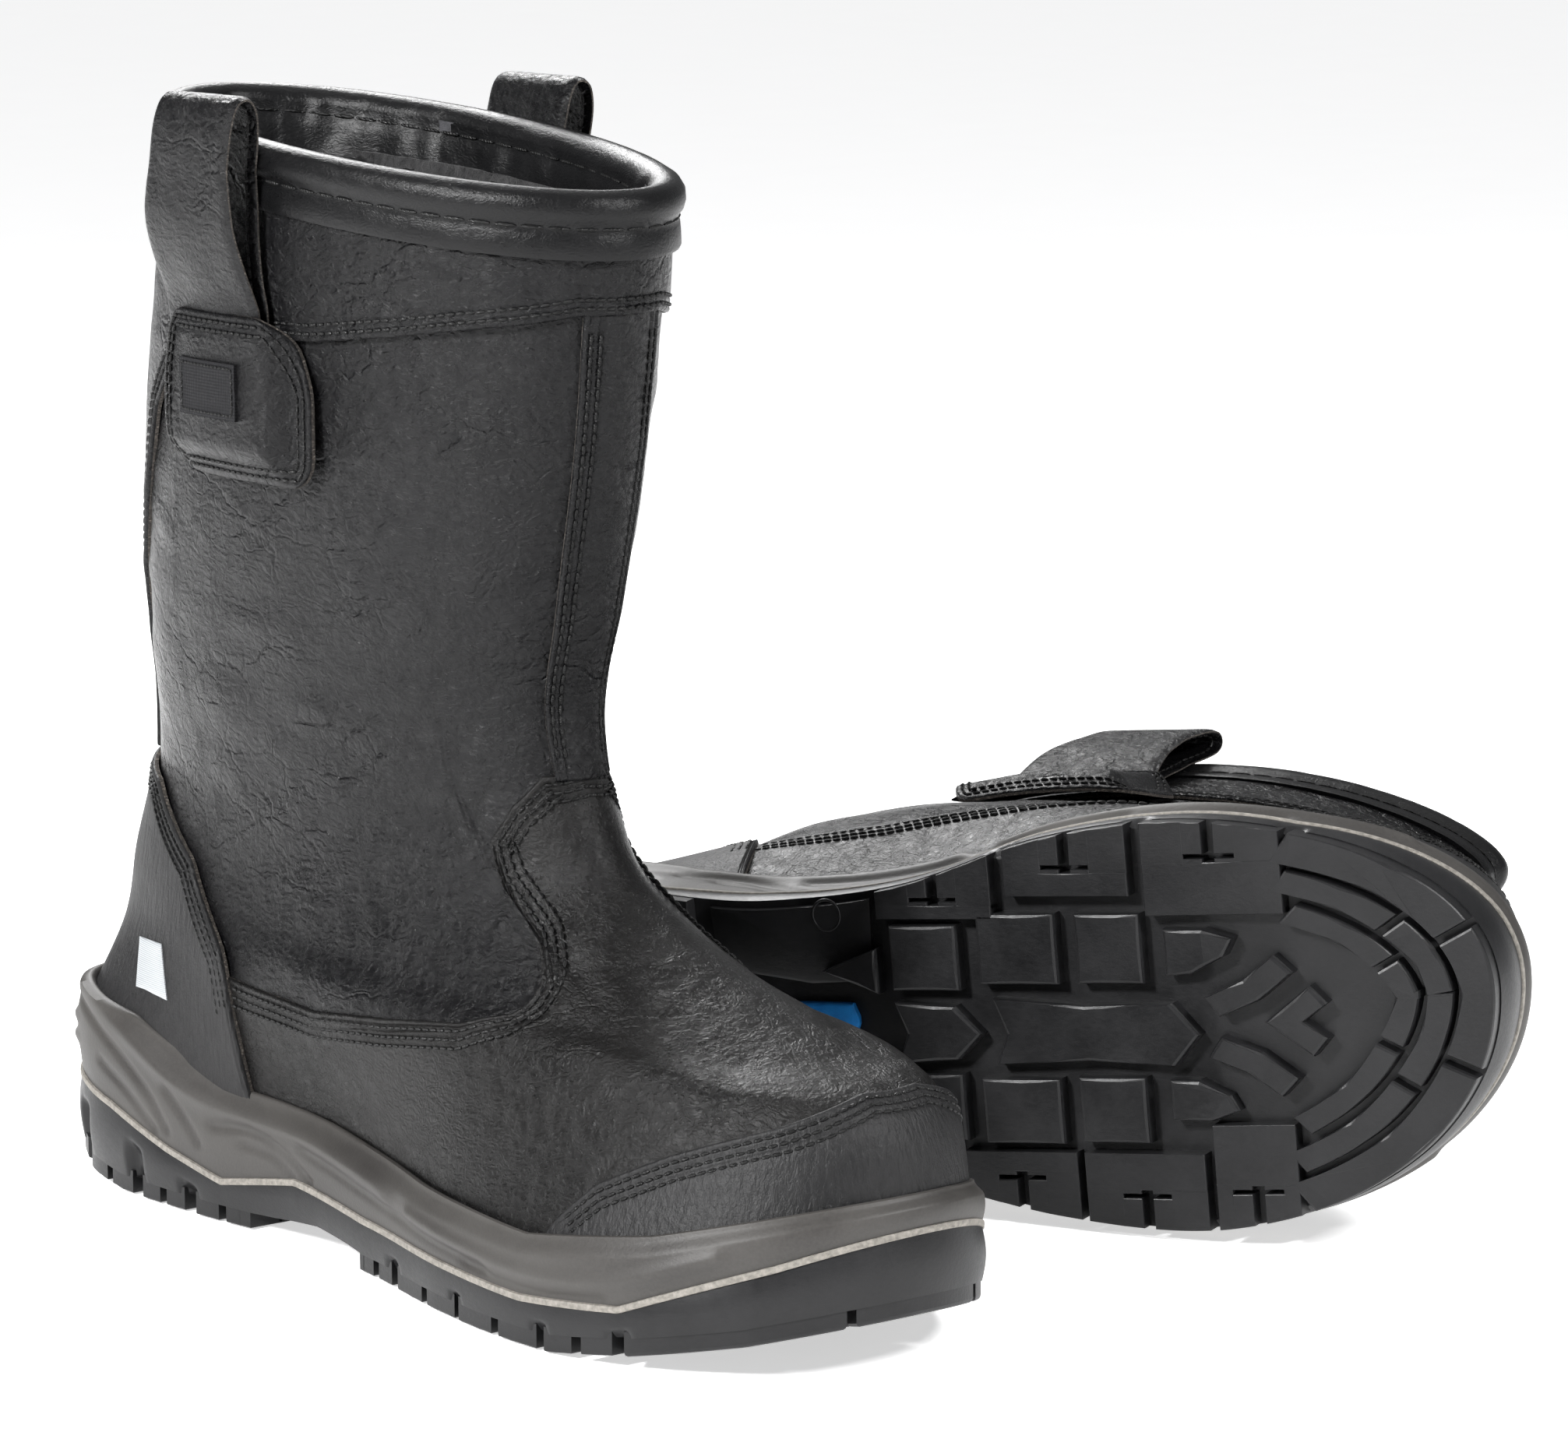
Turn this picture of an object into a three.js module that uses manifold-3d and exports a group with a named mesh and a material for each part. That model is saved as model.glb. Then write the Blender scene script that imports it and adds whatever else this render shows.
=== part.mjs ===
// A pair of fleece-lined pull-on safety boots: steel toe cap, stitched leather upper, two pull
// loops each, PU midsole and a cleated rubber outsole. The right boot stands, the left boot lies
// on its outer side behind it. Millimetres, +Z up, toes of the standing boot toward +Y.
import * as THREE from "three";
import Module from "manifold-3d";

const wasm = await Module();
wasm.setup();
const { Manifold, Mesh } = wasm;

// Driving dimensions.
const SOLE_LENGTH = 311; // heel back to toe tip, EU 43
const AROUND = 24; // facets round the boot
const LEATHER = 2.0; // main leather thickness
const GAP = 0.4; // clearance between stacked layers
const FLEECE = 4.0; // lining thickness
const CAP_STEEL = 1.6; // toe cap, stiffener and padding thickness
const FEATHER_INSET = 4; // upper edge inside the sole edge
const LIP = 3; // midsole lip above the feather line
const LOOP_TOP = 293; // top of the pull loops
const HINGE_Z = 239.5; // where a pull loop leaves its patch
const LEAN = 10; // how far forward a loop leans at its top
const LYING = { x: -41, y: 48, yaw: 0.42, roll: 0.01, pitch: 0.085 };
const SQUASH = 0.5; // how far the empty shaft of the lying boot collapses
const FIRM = 36; // half width over which it gives way
const SAG = 8; // how far it sinks toward the floor

// Sole outline half widths every 15 degrees round the boot, heel to toe: outer and inner side.
const OUTER = [0, 23, 33, 36.5, 36.5, 34.5, 40, 48.5, 51.5, 46, 33, 14, -8];
const INNER = [0, -24, -33, -36, -35.5, -32.6, -37, -49, -53.5, -49.5, -40, -26, -8];
// Heights along the boot, each [y, z].
const FEATHER_Z = [[0, 46], [45, 42], [85, 30.5], [130, 28], [180, 23.5], [230, 21.5], [270, 27], [311, 37]];
const PARTING_Z = [[0, 27], [35, 21], [62, 14], [85, 9.5], [115, 14.5], [150, 12], [230, 10.5], [262, 13],
  [296, 26], [311, 33]];
const GROUND_Z = [[0, 9], [22, 2], [40, 0], [240, 0], [264, 3], [290, 8], [311, 14]];
// Stacked rings of the upper, each: back y, z, front y, z, outer half width back, front,
// inner half width back, front, fullness, sideways shift of the front.
const RINGS = [
  [6.5, 66, 298, 60, 33, 47, 34, 50, 2.5, -8],
  [10.5, 86, 271, 69, 31, 36, 31, 39, 2.3, -7],
  [17, 106, 233, 83, 30, 28, 30, 30, 2.1, -5],
  [20, 126, 199, 104, 32, 26, 32, 28, 2, -3],
  [22, 148, 187, 137, 36, 31, 36, 32, 2, -1],
  [24.5, 176, 194.5, 168, 39, 37, 39, 37, 2, 0],
  [29, 212, 203, 206, 41.5, 40, 41.5, 40, 2, 0],
  [35.5, 250, 207.5, 238, 42, 42, 42, 42, 2, 0],
  [42.5, 289, 210.5, 271, 42, 41, 42, 41, 2, 0],
];
const LEVELS = [0, 0.22, 0.7, 1.3, 2, 2.7, 3.4, 4.1, 5, 6, 7, 8, 8.85]; // ring heights used for the mesh

// Seam lines in side view, each [y, z].
const VAMP_SEAM = [[230, 128], [188, 127], [178, 119], [174, 110], [179, 99], [194, 89], [202, 80],
  [199, 71], [186, 66.5], [159, 64], [127, 62], [93, 62], [78, 64]];
const TOE_SEAM = [[231, 20], [235, 32], [248, 45.5], [266, 52.5], [287, 58], [300, 64]];
const COUNTER_SEAM = [[-5, 113], [20, 112], [35, 106], [60, 89], [83, 68], [90, 57], [97, 30]];
const STAY_SEAM = [[99.8, 228], [84, 231], [71, 219], [58, 207], [47, 185], [37, 160], [29, 140], [24, 118]];
const PATCH_EDGE = [[86, 236], [131, 236], [140, 222], [142, 203], [134, 194.5], [86, 196], [78, 203], [79, 222]];
const WAIST_BAR = [[107, 4.2], [126, 5.9], [141, 4.7], [141, 3.5], [126, 4.7], [107, 3]];

const group = new THREE.Group();
group.name = "rigger_boots_pair";

// Smooth curve through evenly numbered values.
function smooth(values, t) {
  const last = values.length - 1;
  const i = Math.min(Math.max(Math.floor(t), 0), last - 1);
  const f = t - i;
  const b = values[i];
  const c = values[i + 1];
  const a = i > 0 ? values[i - 1] : 2 * b - c;
  const d = i < last - 1 ? values[i + 2] : 2 * c - b;
  const m0 = (c - a) / 2;
  const m1 = (d - b) / 2;
  return b + m0 * f + (3 * (c - b) - 2 * m0 - m1) * f * f + (2 * (b - c) + m0 + m1) * f * f * f;
}

// Height read from a list of [y, z] with straight runs between.
function height(list, y) {
  if (y <= list[0][0]) return list[0][1];
  for (let i = 1; i < list.length; i += 1) {
    if (y <= list[i][0]) {
      const f = (y - list[i - 1][0]) / (list[i][0] - list[i - 1][0]);
      return list[i - 1][1] + f * (list[i][1] - list[i - 1][1]);
    }
  }
  return list[list.length - 1][1];
}

// Sole edge at one angle round the boot: 0 is the heel back, half a turn is the toe.
function soleEdge(angle, inset) {
  const outer = angle <= Math.PI;
  const half = outer ? angle : 2 * Math.PI - angle;
  const along = 0.5 - 0.5 * Math.cos(half);
  const trim = inset * Math.sqrt(Math.max(Math.sin(half), 0));
  const x = smooth(outer ? OUTER : INNER, (half / Math.PI) * 12) - (outer ? trim : -trim);
  return new THREE.Vector2(x, inset + (SOLE_LENGTH - 2 * inset) * along);
}

function ringPoint(ring, angle) {
  const along = 0.5 - 0.5 * Math.cos(angle);
  const outer = angle <= Math.PI;
  const bulge = Math.abs(Math.sin(angle)) ** (2 / ring[8]);
  const width = outer ? ring[4] + (ring[5] - ring[4]) * along : ring[6] + (ring[7] - ring[6]) * along;
  return [
    ring[9] * along ** 1.5 + (outer ? width : -width) * bulge,
    ring[0] + (ring[2] - ring[0]) * along,
    ring[1] + (ring[3] - ring[1]) * along,
  ];
}

// The leather surface: angle round the boot, level 0 at the sole to 9 at the collar.
function surface(angle, level) {
  const turn = ((angle % (2 * Math.PI)) + 2 * Math.PI) % (2 * Math.PI);
  const foot = soleEdge(turn, FEATHER_INSET);
  const column = [[foot.x, foot.y, height(FEATHER_Z, foot.y)]];
  for (const ring of RINGS) column.push(ringPoint(ring, turn));
  return new THREE.Vector3(
    smooth(column.map((p) => p[0]), level),
    smooth(column.map((p) => p[1]), level),
    smooth(column.map((p) => p[2]), level),
  );
}

// The same surface moved outward; level with the floor at the sole edge.
function skin(angle, level, offset) {
  const step = 0.02;
  const round = surface(angle + step, level).sub(surface(angle - step, level));
  const up = surface(angle, level + step).sub(surface(angle, level - step));
  const out = round.cross(up).normalize();
  out.z *= Math.min(level / 0.6, 1);
  return shape(surface(angle, level).addScaledVector(out.normalize(), offset));
}

// The empty shaft of the lying boot sinks flat and spreads a little; the standing one keeps its form.
let fallen = false;

function shape(p) {
  if (!fallen) return p;
  const t = THREE.MathUtils.smoothstep(p.z, 120, 250);
  const sink = SQUASH * t * FIRM * Math.tanh(p.x / FIRM);
  const centre = 100 + 0.12 * (p.z - 120);
  return new THREE.Vector3(p.x - sink + SAG * t, centre + (p.y - centre) * (1 + 0.08 * t), p.z);
}

const angles = Array.from({ length: AROUND }, (_, j) => (2 * Math.PI * j) / AROUND);

function toSolid(points, faces) {
  const vertices = new Float32Array(points.flatMap((p) => [p.x, p.y, p.z]));
  let volume = 0;
  for (const [a, b, c] of faces) {
    volume += points[a].dot(new THREE.Vector3().crossVectors(points[b], points[c]));
  }
  const order = volume > 0 ? faces : faces.map(([a, b, c]) => [a, c, b]);
  return new Manifold(new Mesh({ numProp: 3, vertProperties: vertices, triVerts: new Uint32Array(order.flat()) }));
}

function bridge(faces, from, to, downward = false) {
  for (let j = 0; j < AROUND; j += 1) {
    const k = (j + 1) % AROUND;
    if (downward) faces.push([from + j, from + k, to + j], [from + k, to + k, to + j]);
    else faces.push([from + j, from + k, to + k], [from + j, to + k, to + j]);
  }
}

// A hollow sleeve: rings joined in turn and the last back to the first. Rings from `turn` on run
// downward, and their facets are split the same way as those of the layer they face.
function sleeve(rings, turn = rings.length) {
  const faces = [];
  for (let r = 0; r < rings.length; r += 1) {
    bridge(faces, r * AROUND, ((r + 1) % rings.length) * AROUND, r >= turn);
  }
  return toSolid(rings.flat(), faces);
}

// A solid body: rings joined in turn, the first and last closed by strips across the boot.
function block(rings) {
  const faces = [];
  for (let r = 0; r + 1 < rings.length; r += 1) bridge(faces, r * AROUND, (r + 1) * AROUND);
  const half = AROUND / 2;
  for (const [start, flip] of [[0, true], [(rings.length - 1) * AROUND, false]]) {
    for (let j = 0; j < half; j += 1) {
      const left = start + j;
      const next = start + j + 1;
      const right = start + ((AROUND - j) % AROUND);
      const nextRight = start + AROUND - j - 1;
      const strip = [];
      if (j > 0) strip.push([left, nextRight, right]);
      if (j < half - 1) strip.push([left, next, nextRight]);
      if (j === half - 1 && j > 0) strip[0] = [left, next, right];
      faces.push(...(flip ? strip.map(([a, b, c]) => [a, c, b]) : strip));
    }
  }
  return toSolid(rings.flat(), faces);
}

const skinRing = (level, offset) => angles.map((a) => skin(a, level, offset));

function droppedRing(offset, drop) {
  return skinRing(0, offset).map((p) => new THREE.Vector3(p.x, p.y, p.z - drop));
}

// A layer of the upper between two offsets, from one level to another.
function layer(inside, outside, from, drop) {
  const levels = LEVELS.filter((v) => v >= from);
  const outer = levels.map((v) => skinRing(v, outside));
  const inner = levels.map((v) => skinRing(v, inside)).reverse();
  if (drop > 0) {
    outer.unshift(droppedRing(outside, drop));
    inner.push(droppedRing(inside, drop));
  }
  return sleeve([...outer, ...inner], outer.length);
}

// A board or plate across the boot, between two heights measured from the feather line.
function plate(offset, low, high) {
  return block([droppedRing(offset, -low), droppedRing(offset, -high)]);
}

// A prism with a side-view outline, between two sideways positions.
function prism(outline, left, right) {
  const flat = outline.map(([y, z]) => new THREE.Vector2(y, z));
  if (THREE.ShapeUtils.area(flat) < 0) flat.reverse();
  const count = flat.length;
  const points = [];
  for (const x of [left, right]) {
    for (const p of flat) points.push(new THREE.Vector3(x, p.x, p.y));
  }
  const faces = [];
  for (const corner of THREE.ShapeUtils.triangulateShape(flat, [])) {
    const turn = THREE.ShapeUtils.area(corner.map((i) => flat[i]));
    const [a, b, c] = turn > 0 ? corner : [corner[0], corner[2], corner[1]];
    faces.push([a, c, b], [a + count, b + count, c + count]);
  }
  for (let i = 0; i < count; i += 1) {
    const k = (i + 1) % count;
    faces.push([i, k, k + count], [i, k + count, i + count]);
  }
  return toSolid(points, faces);
}

function box(x0, x1, y0, y1, z0, z1) {
  return prism([[y0, z0], [y1, z0], [y1, z1], [y0, z1]], x0, x1);
}

// Moves an open line sideways by a clearance, to the left of its direction.
function aside(line, distance) {
  return line.map((p, i) => {
    const a = line[Math.max(i - 1, 0)];
    const b = line[Math.min(i + 1, line.length - 1)];
    const run = Math.hypot(b[0] - a[0], b[1] - a[1]);
    return [p[0] - (distance * (b[1] - a[1])) / run, p[1] + (distance * (b[0] - a[0])) / run];
  });
}

const WIDE = 90;
const vampOutline = (grow) => [...aside(VAMP_SEAM, -grow), [77 - grow, 64 + grow], [77 - grow, -5],
  [330, -5], [330, 128 + grow]];
const toeOutline = () => [...TOE_SEAM, [330, 64], [330, 10], [231, 10]];
const counterOutline = () => [...COUNTER_SEAM, [97, 5], [-30, 5], [-30, 113]];
const stayOutline = () => [...STAY_SEAM, [-30, 118], [-30, 320], [99.8, 320]];
const capOutline = (grow) => [[238 - grow, 10], [250 - grow, 90], [330, 90], [330, 10]];
const stiffOutline = (grow) => [[-30, 10], [84 + grow, 10], [62 + grow, 88 + grow], [-30, 100 + grow]];

// Pull loop cross-section as a path of [distance out from the shaft, height], inner leg to outer.
const LOOP_PATH = [[4.2, HINGE_Z], [6, 262], [7.4, 280], [9, 289.5], [13.2, LOOP_TOP - 1], [17.6, 289],
  [18.8, 278], [17, 262], [12.4, 250], [7.4, HINGE_Z]];
// The same, pressed flat under the lying boot.
const PRESSED_PATH = [[4.2, HINGE_Z], [5, 262], [5.4, 280], [5.2, 290], [6.8, LOOP_TOP], [8.8, 290],
  [8.4, 280], [8, 262], [7.6, HINGE_Z]];

function loopSolid(side) {
  const path = fallen && side > 0 ? PRESSED_PATH : LOOP_PATH;
  const stations = [0, 0.33, 0.67, 1];
  const rows = stations.map((f) => {
    const outer = [];
    const inner = [];
    path.forEach(([out, z], i) => {
      const widen = Math.max(0, (HINGE_Z + 32 - z) / 32);
      const lean = path === LOOP_PATH ? LEAN * THREE.MathUtils.smoothstep(z, HINGE_Z, LOOP_TOP) : 0;
      const y = 84 - 3 * widen + f * (33 + 12 * widen) + lean;
      const before = path[Math.max(i - 1, 0)];
      const after = path[Math.min(i + 1, path.length - 1)];
      const run = Math.hypot(after[0] - before[0], after[1] - before[1]);
      const nx = -(after[1] - before[1]) / run;
      const nz = (after[0] - before[0]) / run;
      const flat = Math.min((z - HINGE_Z) / 22, 1);
      const base = shaftSide(y) * (1 - flat) + 41 * flat;
      outer.push(hang(side * base, side * (out + nx), y, z + nz));
      inner.push(hang(side * base, side * (out - nx), y, z - nz));
    });
    return [...outer, ...inner.reverse()];
  });
  const count = rows[0].length;
  const faces = [];
  for (let s = 0; s + 1 < rows.length; s += 1) {
    for (let i = 0; i < count; i += 1) {
      const k = (i + 1) % count;
      faces.push([s * count + i, s * count + k, (s + 1) * count + k]);
      faces.push([s * count + i, (s + 1) * count + k, (s + 1) * count + i]);
    }
  }
  const legs = count / 2;
  const end = (rows.length - 1) * count;
  for (let i = 0; i + 1 < legs; i += 1) {
    const a = i;
    const b = i + 1;
    const c = count - 2 - i;
    const d = count - 1 - i;
    faces.push([a, c, b], [a, d, c]);
    faces.push([end + a, end + b, end + c], [end + a, end + c, end + d]);
  }
  return toSolid(rows.flat(), faces);
}

// A point of a loop: it follows the shaft wall, and keeps its own distance from it.
function hang(wall, out, y, z) {
  const p = shape(new THREE.Vector3(wall, y, z));
  return new THREE.Vector3(p.x + out, p.y, z);
}

// Half width of the upper shaft at one place along the boot.
function shaftSide(y) {
  const middle = 122;
  const along = Math.min(Math.abs(y - middle) / 88, 1);
  return 42 * Math.sqrt(1 - along * along);
}

// Flat piece lying on the shaft or the heel counter, cut to a side-view outline.
function applique(low, high, outline, side) {
  const sheet = layer(low, high, 0.22, 0);
  return sheet.intersect(prism(outline, side > 0 ? 2 : -WIDE, side > 0 ? WIDE : -2));
}

function outsole() {
  const treadDepth = 4;
  const rings = [
    angles.map((a) => edgePoint(a, 4.5, (y) => height(GROUND_Z, y))),
    angles.map((a) => edgePoint(a, 1.5, (y) => height(GROUND_Z, y) + 5)),
    angles.map((a) => edgePoint(a, 0.4, (y) => Math.max(height(PARTING_Z, y), height(GROUND_Z, y) + 8.5) - 0.2)),
  ];
  let body = block(rings);
  const arch = [[100, -1], [104, 4.5], [126, 6.5], [143, 5], [150, -1]];
  body = body.subtract(prism(arch, -WIDE, WIDE));
  for (const y of [22, 46, 72]) {
    for (const side of [-1, 1]) {
      const [near, far] = side > 0 ? [12, WIDE] : [-WIDE, -12];
      body = body.subtract(box(near, far, y, y + 5, -9, height(GROUND_Z, y) + treadDepth));
    }
  }
  body = body.subtract(box(-3.5, 3.5, 20, 78, -5, treadDepth));
  for (const y of [170, 192, 214, 236, 258]) {
    for (const side of [-1, 1]) {
      const [near, far] = side > 0 ? [8, WIDE] : [-WIDE, -16];
      body = body.subtract(box(near, far, y, y + 5, -9, height(GROUND_Z, y) + treadDepth));
    }
  }
  body = body.subtract(box(-8, -4, 156, 262, -5, treadDepth));
  body = body.subtract(box(26, 30, 160, 262, -5, treadDepth));
  body = body.subtract(box(-36, -32, 166, 262, -5, treadDepth));
  return body;
}

function edgePoint(angle, inset, rule) {
  const p = soleEdge(angle, inset);
  return new THREE.Vector3(p.x, p.y, rule(p.y));
}

function midsole() {
  const lowRule = (y) => Math.max(height(PARTING_Z, y), height(GROUND_Z, y) + 8.5) + 0.2;
  const topRule = (y) => height(FEATHER_Z, y) + LIP;
  const lip = angles.map((a) => {
    const p = skin(a, 0.1, GAP + 0.2);
    p.z = surface(a, 0).z + LIP;
    return p;
  });
  return block([
    angles.map((a) => edgePoint(a, 0, lowRule)),
    angles.map((a) => edgePoint(a, -0.6, (y) => 0.5 * (lowRule(y) + topRule(y)))),
    angles.map((a) => edgePoint(a, 1.8, topRule)),
    lip,
    droppedRing(GAP + 0.2, 0),
    droppedRing(GAP + 0.2, 4.4),
  ]);
}

function collarBinding() {
  const rings = [];
  const ends = [[-3.9, -0.2], [-8.4, 0.4], [-9.8, 3], [-7.8, 6.6], [-3, 8.6], [1.8, 7], [4, 3], [2.6, 0.4]];
  for (const [out, lift] of ends) {
    rings.push(angles.map((a) => {
      const p = skin(a, 8.85, out);
      return new THREE.Vector3(p.x, p.y, p.z + lift + 0.6);
    }));
  }
  return sleeve(rings);
}

// Heel-to-toe list of pieces of one boot, in its own frame.
function bootPieces() {
  const base = layer(-LEATHER, 0, 0, 2.6);
  const middleIn = -LEATHER - GAP - CAP_STEEL;
  const middle = layer(middleIn, -LEATHER - GAP, 0, 0);
  const overlay = layer(GAP, GAP + LEATHER, 0.22, 0);
  const aboveVamp = base.subtract(prism(vampOutline(GAP), -WIDE, WIDE));
  const bandLine = [[100.2, 227.5], [139, 231], [175, 236], [216, 240.5], [216, 320], [100.2, 320]];
  const tail = [[83, 202], [129, 202], [130, 237], [81, 237]];
  const label = [[97, 207], [126, 207], [126, 219.5], [97, 219.5]];
  const mark = [[30, 60], [50, 52], [58, 58], [46, 68], [34, 71]];
  const tailLow = 2 * GAP + LEATHER;
  const patchLow = tailLow + LEATHER + GAP;
  const list = [
    ["outsole", outsole(), "rubber", 0x151515],
    ["midsole", midsole(), "pu", 0x3a3632],
    ["penetration_plate", plate(-1, -4, -2.9), "steel", 0x9aa0a4],
    ["insole_board", plate(-LEATHER - GAP, -2.5, -0.5), "board", 0x8a6f4d],
    ["footbed", plate(middleIn - FLEECE - 4.5, 0.1, 4.5), "foam", 0x2c2c30],
    ["lining", layer(middleIn - GAP - FLEECE, middleIn - GAP, 0, 0), "fleece", 0x1b1a1c],
    ["toe_cap", middle.intersect(prism(capOutline(0), -WIDE, WIDE)), "steel", 0x9aa0a4],
    ["heel_stiffener", middle.intersect(prism(stiffOutline(0), -WIDE, WIDE)), "board", 0x8f8578],
    ["shaft_padding", middle.subtract(prism(capOutline(GAP), -WIDE, WIDE))
      .subtract(prism(stiffOutline(GAP), -WIDE, WIDE)), "foam", 0x45413d],
    ["vamp", base.intersect(prism(vampOutline(0), -WIDE, WIDE)), "leather", 0x17161a],
    ["quarter_outer", aboveVamp.intersect(box(0.2, WIDE, -30, 330, 0, 330)), "leather", 0x18171b],
    ["quarter_inner", aboveVamp.intersect(box(-WIDE, -0.2, -30, 330, 0, 330)), "leather", 0x18171b],
    ["toe_guard", overlay.intersect(prism(toeOutline(), -WIDE, WIDE)), "leather", 0x2b2b2d],
    ["heel_counter", overlay.intersect(prism(counterOutline(), -WIDE, WIDE)), "leather", 0x1a191d],
    ["front_strip", overlay.intersect(box(fallen ? -6 : -11, fallen ? 15 : 10, 130, 240, 130, 236.5)), "leather", 0x1a191d],
    ["back_stay", overlay.intersect(prism(stayOutline(), -WIDE, WIDE)), "leather", 0x19181c],
    ["top_band", overlay.intersect(prism(bandLine, -WIDE, WIDE)), "leather", 0x19181c],
    ["collar_binding", collarBinding(), "binding", 0x141417],
  ];
  for (const [word, side] of [["outer", 1], ["inner", -1]]) {
    list.push([`strap_tail_${word}`, applique(tailLow, tailLow + LEATHER, tail, side), "leather", 0x222226]);
    list.push([`strap_patch_${word}`, applique(patchLow, patchLow + 1.6, PATCH_EDGE, side), "leather", 0x1d1c20]);
    list.push([`pull_loop_${word}`, loopSolid(side), "leather", 0x222226]);
  }
  list.push(["patch_label", applique(patchLow + 2, patchLow + 2.8, label, 1), "label", 0x0c0c0d]);
  list.push(["heel_mark", applique(2 * GAP + LEATHER, 2 * GAP + LEATHER + 0.8, mark, 1), "mark", 0xc8ccd0]);
  list.push(["waist_bar", prism(WAIST_BAR, -6, 3), "mark", 0x2196d8]);
  return list;
}

// Turns a left boot onto its outer side.
const laying = new THREE.Matrix4()
  .multiply(new THREE.Matrix4().makeTranslation(LYING.x, LYING.y, 0))
  .multiply(new THREE.Matrix4().makeRotationZ(LYING.yaw))
  .multiply(new THREE.Matrix4().makeRotationX(LYING.pitch))
  .multiply(new THREE.Matrix4().makeRotationY(-Math.PI / 2 + LYING.roll));

const FINISH = {
  rubber: [0.75, 0],
  pu: [0.6, 0],
  steel: [0.35, 1],
  board: [0.9, 0],
  foam: [0.9, 0],
  fleece: [0.95, 0],
  leather: [0.45, 0],
  binding: [0.4, 0],
  label: [0.5, 0],
  mark: [0.4, 0],
};

function addMesh(name, solid, kind, color) {
  const parts = solid.decompose();
  parts.sort((a, b) => b.volume() - a.volume());
  const data = parts[0].getMesh();
  const geometry = new THREE.BufferGeometry();
  geometry.setAttribute("position", new THREE.BufferAttribute(Float32Array.from(data.vertProperties), 3));
  geometry.setIndex(Array.from(data.triVerts));
  geometry.computeVertexNormals();
  const [roughness, metalness] = FINISH[kind];
  const mesh = new THREE.Mesh(geometry, new THREE.MeshStandardMaterial({ color, roughness, metalness }));
  mesh.name = name;
  group.add(mesh);
  return mesh;
}

for (const [name, solid, kind, color] of bootPieces()) addMesh(`right_${name}`, solid, kind, color);
fallen = true;
for (const [name, solid, kind, color] of bootPieces()) {
  addMesh(`left_${name}`, solid.mirror([1, 0, 0]).transform(laying.elements), kind, color);
}

// The lying boot is lowered until it rests on the floor, then the pair is centred on the origin.
const all = new THREE.Box3();
const lying = new THREE.Box3();
for (const mesh of group.children) {
  mesh.geometry.computeBoundingBox();
  if (mesh.name.startsWith("left_")) lying.union(mesh.geometry.boundingBox);
}
for (const mesh of group.children) {
  if (mesh.name.startsWith("left_")) mesh.geometry.translate(0, 0, -lying.min.z);
  mesh.geometry.computeBoundingBox();
  all.union(mesh.geometry.boundingBox);
}
const middle = all.getCenter(new THREE.Vector3());
for (const mesh of group.children) mesh.geometry.translate(-middle.x, -middle.y, -all.min.z);

export default group;
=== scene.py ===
"""A pair of fleece-lined pull-on safety boots: black grained leather, PU midsole, cleated rubber outsole.

The right boot stands and the left boot lies behind it with its sole turned to the viewer. Both are built from one
set of rules in millimetres in the boot's own frame: heel back at y 0, toe toward +y, ground at z 0, outer side +x.
A place on the leather is a turn round the boot in degrees (0 heel, 90 outer side, 180 toe) and a level (0 sole,
9 collar).
"""

import math

import bmesh
import bpy
import numpy as np
from mathutils import Matrix, Vector


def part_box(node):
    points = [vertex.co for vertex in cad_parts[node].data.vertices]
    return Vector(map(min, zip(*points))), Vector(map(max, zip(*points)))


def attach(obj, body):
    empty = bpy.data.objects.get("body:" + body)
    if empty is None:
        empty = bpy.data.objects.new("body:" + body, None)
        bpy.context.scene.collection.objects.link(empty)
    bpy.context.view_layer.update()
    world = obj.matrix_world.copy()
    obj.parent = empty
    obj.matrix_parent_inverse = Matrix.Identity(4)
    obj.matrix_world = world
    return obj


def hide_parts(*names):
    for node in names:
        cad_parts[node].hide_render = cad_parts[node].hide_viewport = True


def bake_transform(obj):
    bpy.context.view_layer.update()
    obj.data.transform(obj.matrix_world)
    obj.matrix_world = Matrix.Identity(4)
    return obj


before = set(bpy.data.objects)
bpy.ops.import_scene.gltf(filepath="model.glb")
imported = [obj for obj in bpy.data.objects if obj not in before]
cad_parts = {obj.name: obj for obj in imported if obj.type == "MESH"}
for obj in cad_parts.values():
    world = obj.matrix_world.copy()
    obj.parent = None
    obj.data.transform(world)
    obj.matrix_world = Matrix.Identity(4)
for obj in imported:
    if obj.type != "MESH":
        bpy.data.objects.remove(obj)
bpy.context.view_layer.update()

# ---------------------------------------------------------------- the boot's shape, in millimetres
SOLE_LENGTH = 311.0
FEATHER_INSET = 4.0  # the upper stands this far inside the sole edge
HINGE_Z = 239.5  # where a pull loop leaves its patch
BAR_CORNER = np.array([-6.0, 107.0, 3.0])  # lowest corner of the standing boot's waist bar
# Sole half width every 15 degrees of turn, from the heel to the toe.
OUTER = [0, 23, 33, 36.5, 36.5, 34.5, 40, 48.5, 51.5, 46, 33, 14, -8]
INNER = [0, -24, -33, -36, -35.5, -32.6, -37, -49, -53.5, -49.5, -40, -26, -8]
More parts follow.
